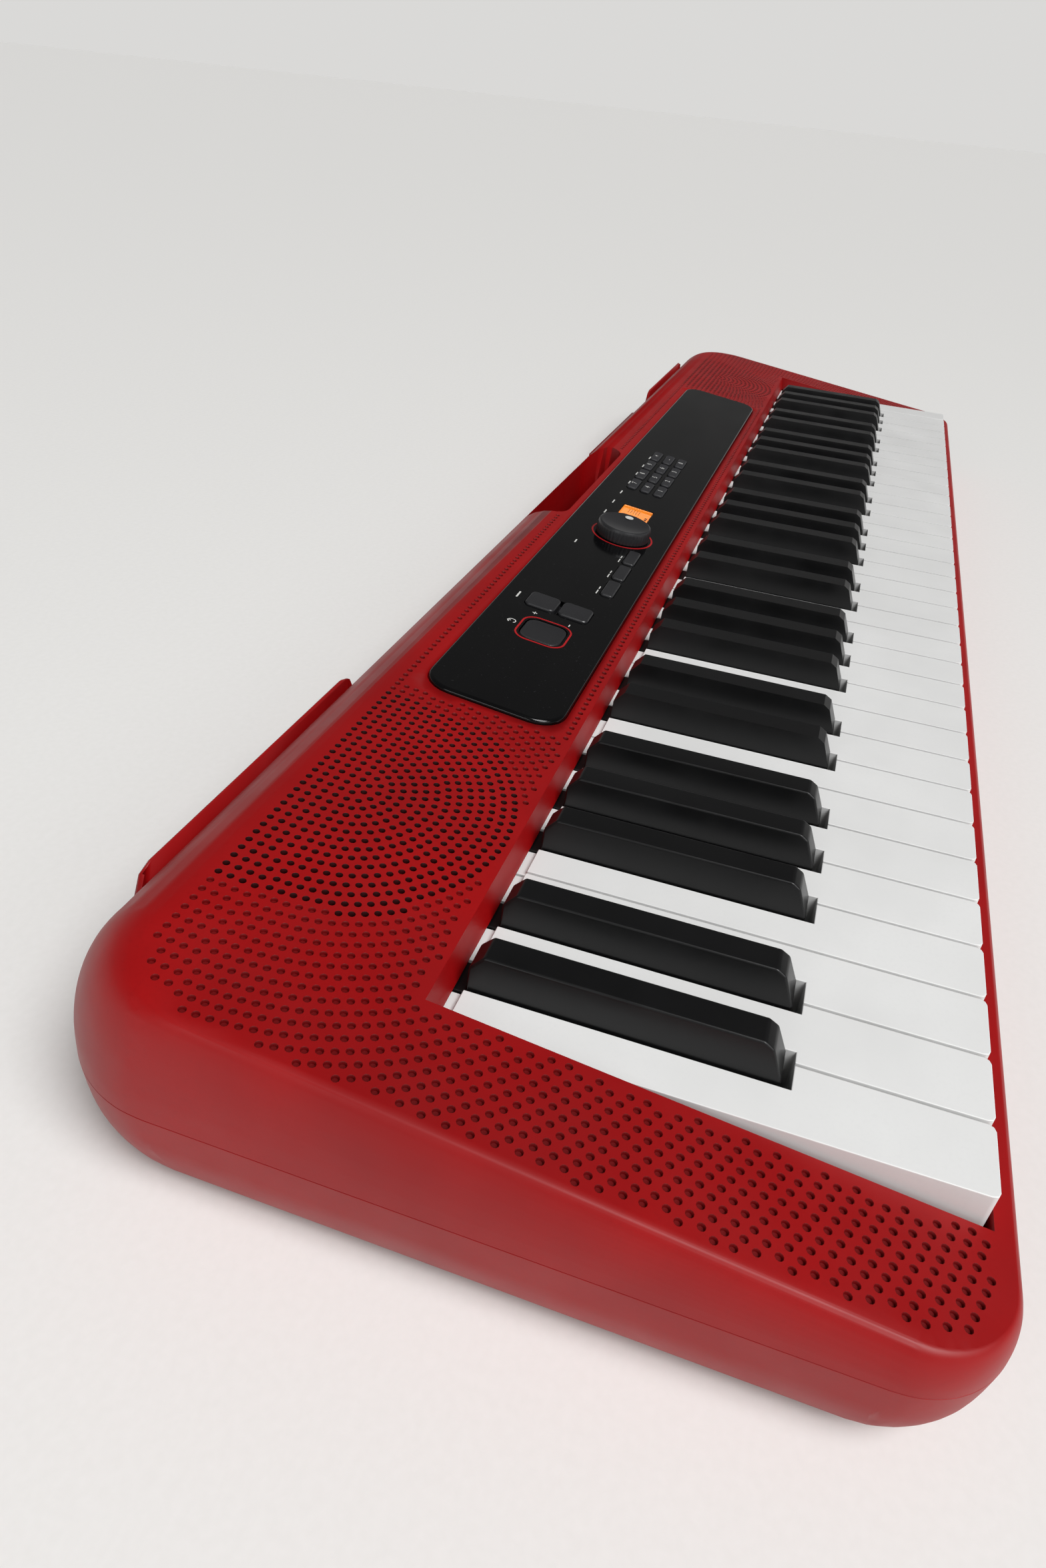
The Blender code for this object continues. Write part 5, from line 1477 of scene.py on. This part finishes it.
@dataclass
class InnerParts:
    """Pieces that only show with a cover off or through a gap: they keep their CAD shape and get a finish."""

    nodes: dict

    def build(self) -> None:
        """Dress every CAD node that is still shown."""
        finishes = {
            Finish.CHASSIS: ("key_chassis",),
            Finish.STEEL: ("key_hold_down_bar", "dial_encoder", "battery_contact_bass",
                           "battery_contact_treble"),
            Finish.FELT: ("key_stop_felt",),
            Finish.RUBBER: ("contact_rubber_strip",),
            Finish.BOARD: ("key_contact_board", "panel_board", "main_board"),
            Finish.DISPLAY: ("display_module",),
            Finish.SOCKET: ("phones_socket", "pedal_socket", "supply_socket", "data_socket", "speaker_bass",
                            "speaker_treble"),
        }
        for finish, names in finishes.items():
            for name in names:
                materials = self.nodes[name].data.materials
                materials.clear()
                materials.append(finish.material())
                LOG.info("%s: dressed in %s", name, finish.value.name)


@dataclass(frozen=True)
class SoftBox:
    """A lamp with a broad rectangular face."""

    name: str
    place: Point3
    aim: Point3
    size: Point2
    power: float


@dataclass
class Studio:
    """Pale floor and backdrop, soft lamps, and the photograph's camera."""

    lens: float = 23.58
    sensor: float = 36.0
    near: float = 10 * MM
    eye: Point3 = (-0.60228, -0.03975, 0.26057)
    ahead: Point3 = (0.80275, 0.21320, -0.55690)
    right: Point3 = (0.31186, -0.94611, 0.08732)
    down: Point3 = (-0.50827, -0.24377, -0.82597)
    floor_colour: str = "E6E5E3"
    floor_fleck: str = "DEDDDA"
    fleck_size: float = 3 * MM
    floor_reach: float = 60.0
    sky_colour: str = "FFFEFC"
    wall_top: Point2 = (0.08, 0.17)
    wall_light: float = 0.70
    ceiling_light: float = 0.11
    key_power: float = 2.9
    key_spread: float = 34.0
    key_from: Point3 = (-0.35, -0.52, 1.0)
    boxes: Sequence[SoftBox] = (
        SoftBox("front box", (-0.95, -0.9, 0.75), (-0.3, -0.05, 0.05), (0.9, 0.5), 3.0),
        SoftBox("near box", (-1.3, 0.35, 0.55), (-0.3, 0.05, 0.05), (0.5, 0.3), 1.2))

    def build(self) -> None:
        """Build the studio."""
        self._floor()
        self._camera()
        self._sky()
        self._lamps()
        bpy.context.scene.view_settings.view_transform = "Standard"

    def _floor(self) -> None:
        """A floor so wide that its edge lies at the horizon."""
        bm = bmesh.new()
        bmesh.ops.create_grid(bm, x_segments=8, y_segments=8, size=self.floor_reach)
        mesh = to_mesh(bm)
        floor = put_in_scene("studio_floor", mesh)
        shader = Shader("matte paper floor")
        fleck = shader.spread(shader.noise(self.fleck_size, 2.0), 0.0, 0.3)
        shader.set(Base_Color=shader.mix(fleck, linear(self.floor_colour), linear(self.floor_fleck)))
        shader.set(Roughness=0.95, Specular_IOR_Level=0.2)
        mesh.materials.append(shader.material)

    def _camera(self) -> None:
        """The photograph's camera."""
        data = bpy.data.cameras.new("camera")
        data.lens = self.lens
        data.sensor_width = self.sensor
        data.clip_start = self.near
        camera = put_in_scene("camera", data)
        columns = (Vector(self.right), -Vector(self.down), -Vector(self.ahead))
        turn = Matrix([[c[i] for c in columns] for i in range(3)]).to_4x4()
        camera.matrix_world = Matrix.Translation(self.eye) @ turn
        bpy.context.scene.camera = camera

    def _sky(self) -> None:
        """A plain pale backdrop for the camera, which darkens upwards for the light and for reflections."""
        world = bpy.data.worlds.new("studio")
        world.use_nodes = True
        bpy.context.scene.world = world
        sky = NodeTree(world.node_tree)
        where = sky.node("ShaderNodeTexCoord").outputs["Generated"]
        height = sky.node("ShaderNodeSeparateXYZ", {"Vector": where}).outputs["Z"]
        fade = sky.node("ShaderNodeMapRange", {
            "Value": height, "From Min": self.wall_top[0], "From Max": self.wall_top[1],
            "To Min": self.wall_light, "To Max": self.ceiling_light}, interpolation_type="SMOOTHSTEP")
        path = sky.node("ShaderNodeLightPath").outputs
        seen = sky.combine("MAXIMUM", path["Is Camera Ray"], path["Is Transmission Ray"])
        plain = sky.combine("MULTIPLY", seen, self.wall_light)
        strength = sky.combine("MAXIMUM", plain, fade.outputs["Result"])
        backdrop = world.node_tree.nodes["Background"].inputs
        backdrop["Color"].default_value = linear(self.sky_colour)
        world.node_tree.links.new(strength, backdrop["Strength"])

    def _lamps(self) -> None:
        """A broad even key light from the player's side, and two soft boxes that draw highlights on gloss."""
        key = bpy.data.lights.new("key", "SUN")
        key.energy = self.key_power
        key.angle = math.radians(self.key_spread)
        self._aim(put_in_scene("key", key), -Vector(self.key_from))
        for box in self.boxes:
            data = bpy.data.lights.new(box.name, "AREA")
            data.shape = "RECTANGLE"
            data.size, data.size_y = box.size
            data.energy = box.power
            lamp = put_in_scene(box.name, data)
            lamp.location = box.place
            self._aim(lamp, Vector(box.aim) - Vector(box.place))

    @staticmethod
    def _aim(lamp: bpy.types.Object, way: Vector) -> None:
        """Turn a lamp so that it shines the given way."""
        lamp.rotation_euler = way.to_track_quat("-Z", "Y").to_euler()


def main() -> None:
    """Build the keyboard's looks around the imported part."""
    logging.basicConfig(level=logging.INFO, format="%(message)s")
    for thing in list(bpy.context.scene.objects):
        bpy.data.objects.remove(thing)
    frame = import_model()
    nodes = frame["nodes"]
    UpperHousing(nodes).build()
    LowerHousing(nodes).build()
    Keys(nodes).build()
    ControlPanel(nodes).build()
    InnerParts(nodes).build()
    Studio().build()


if __name__ == "__main__":
    main()
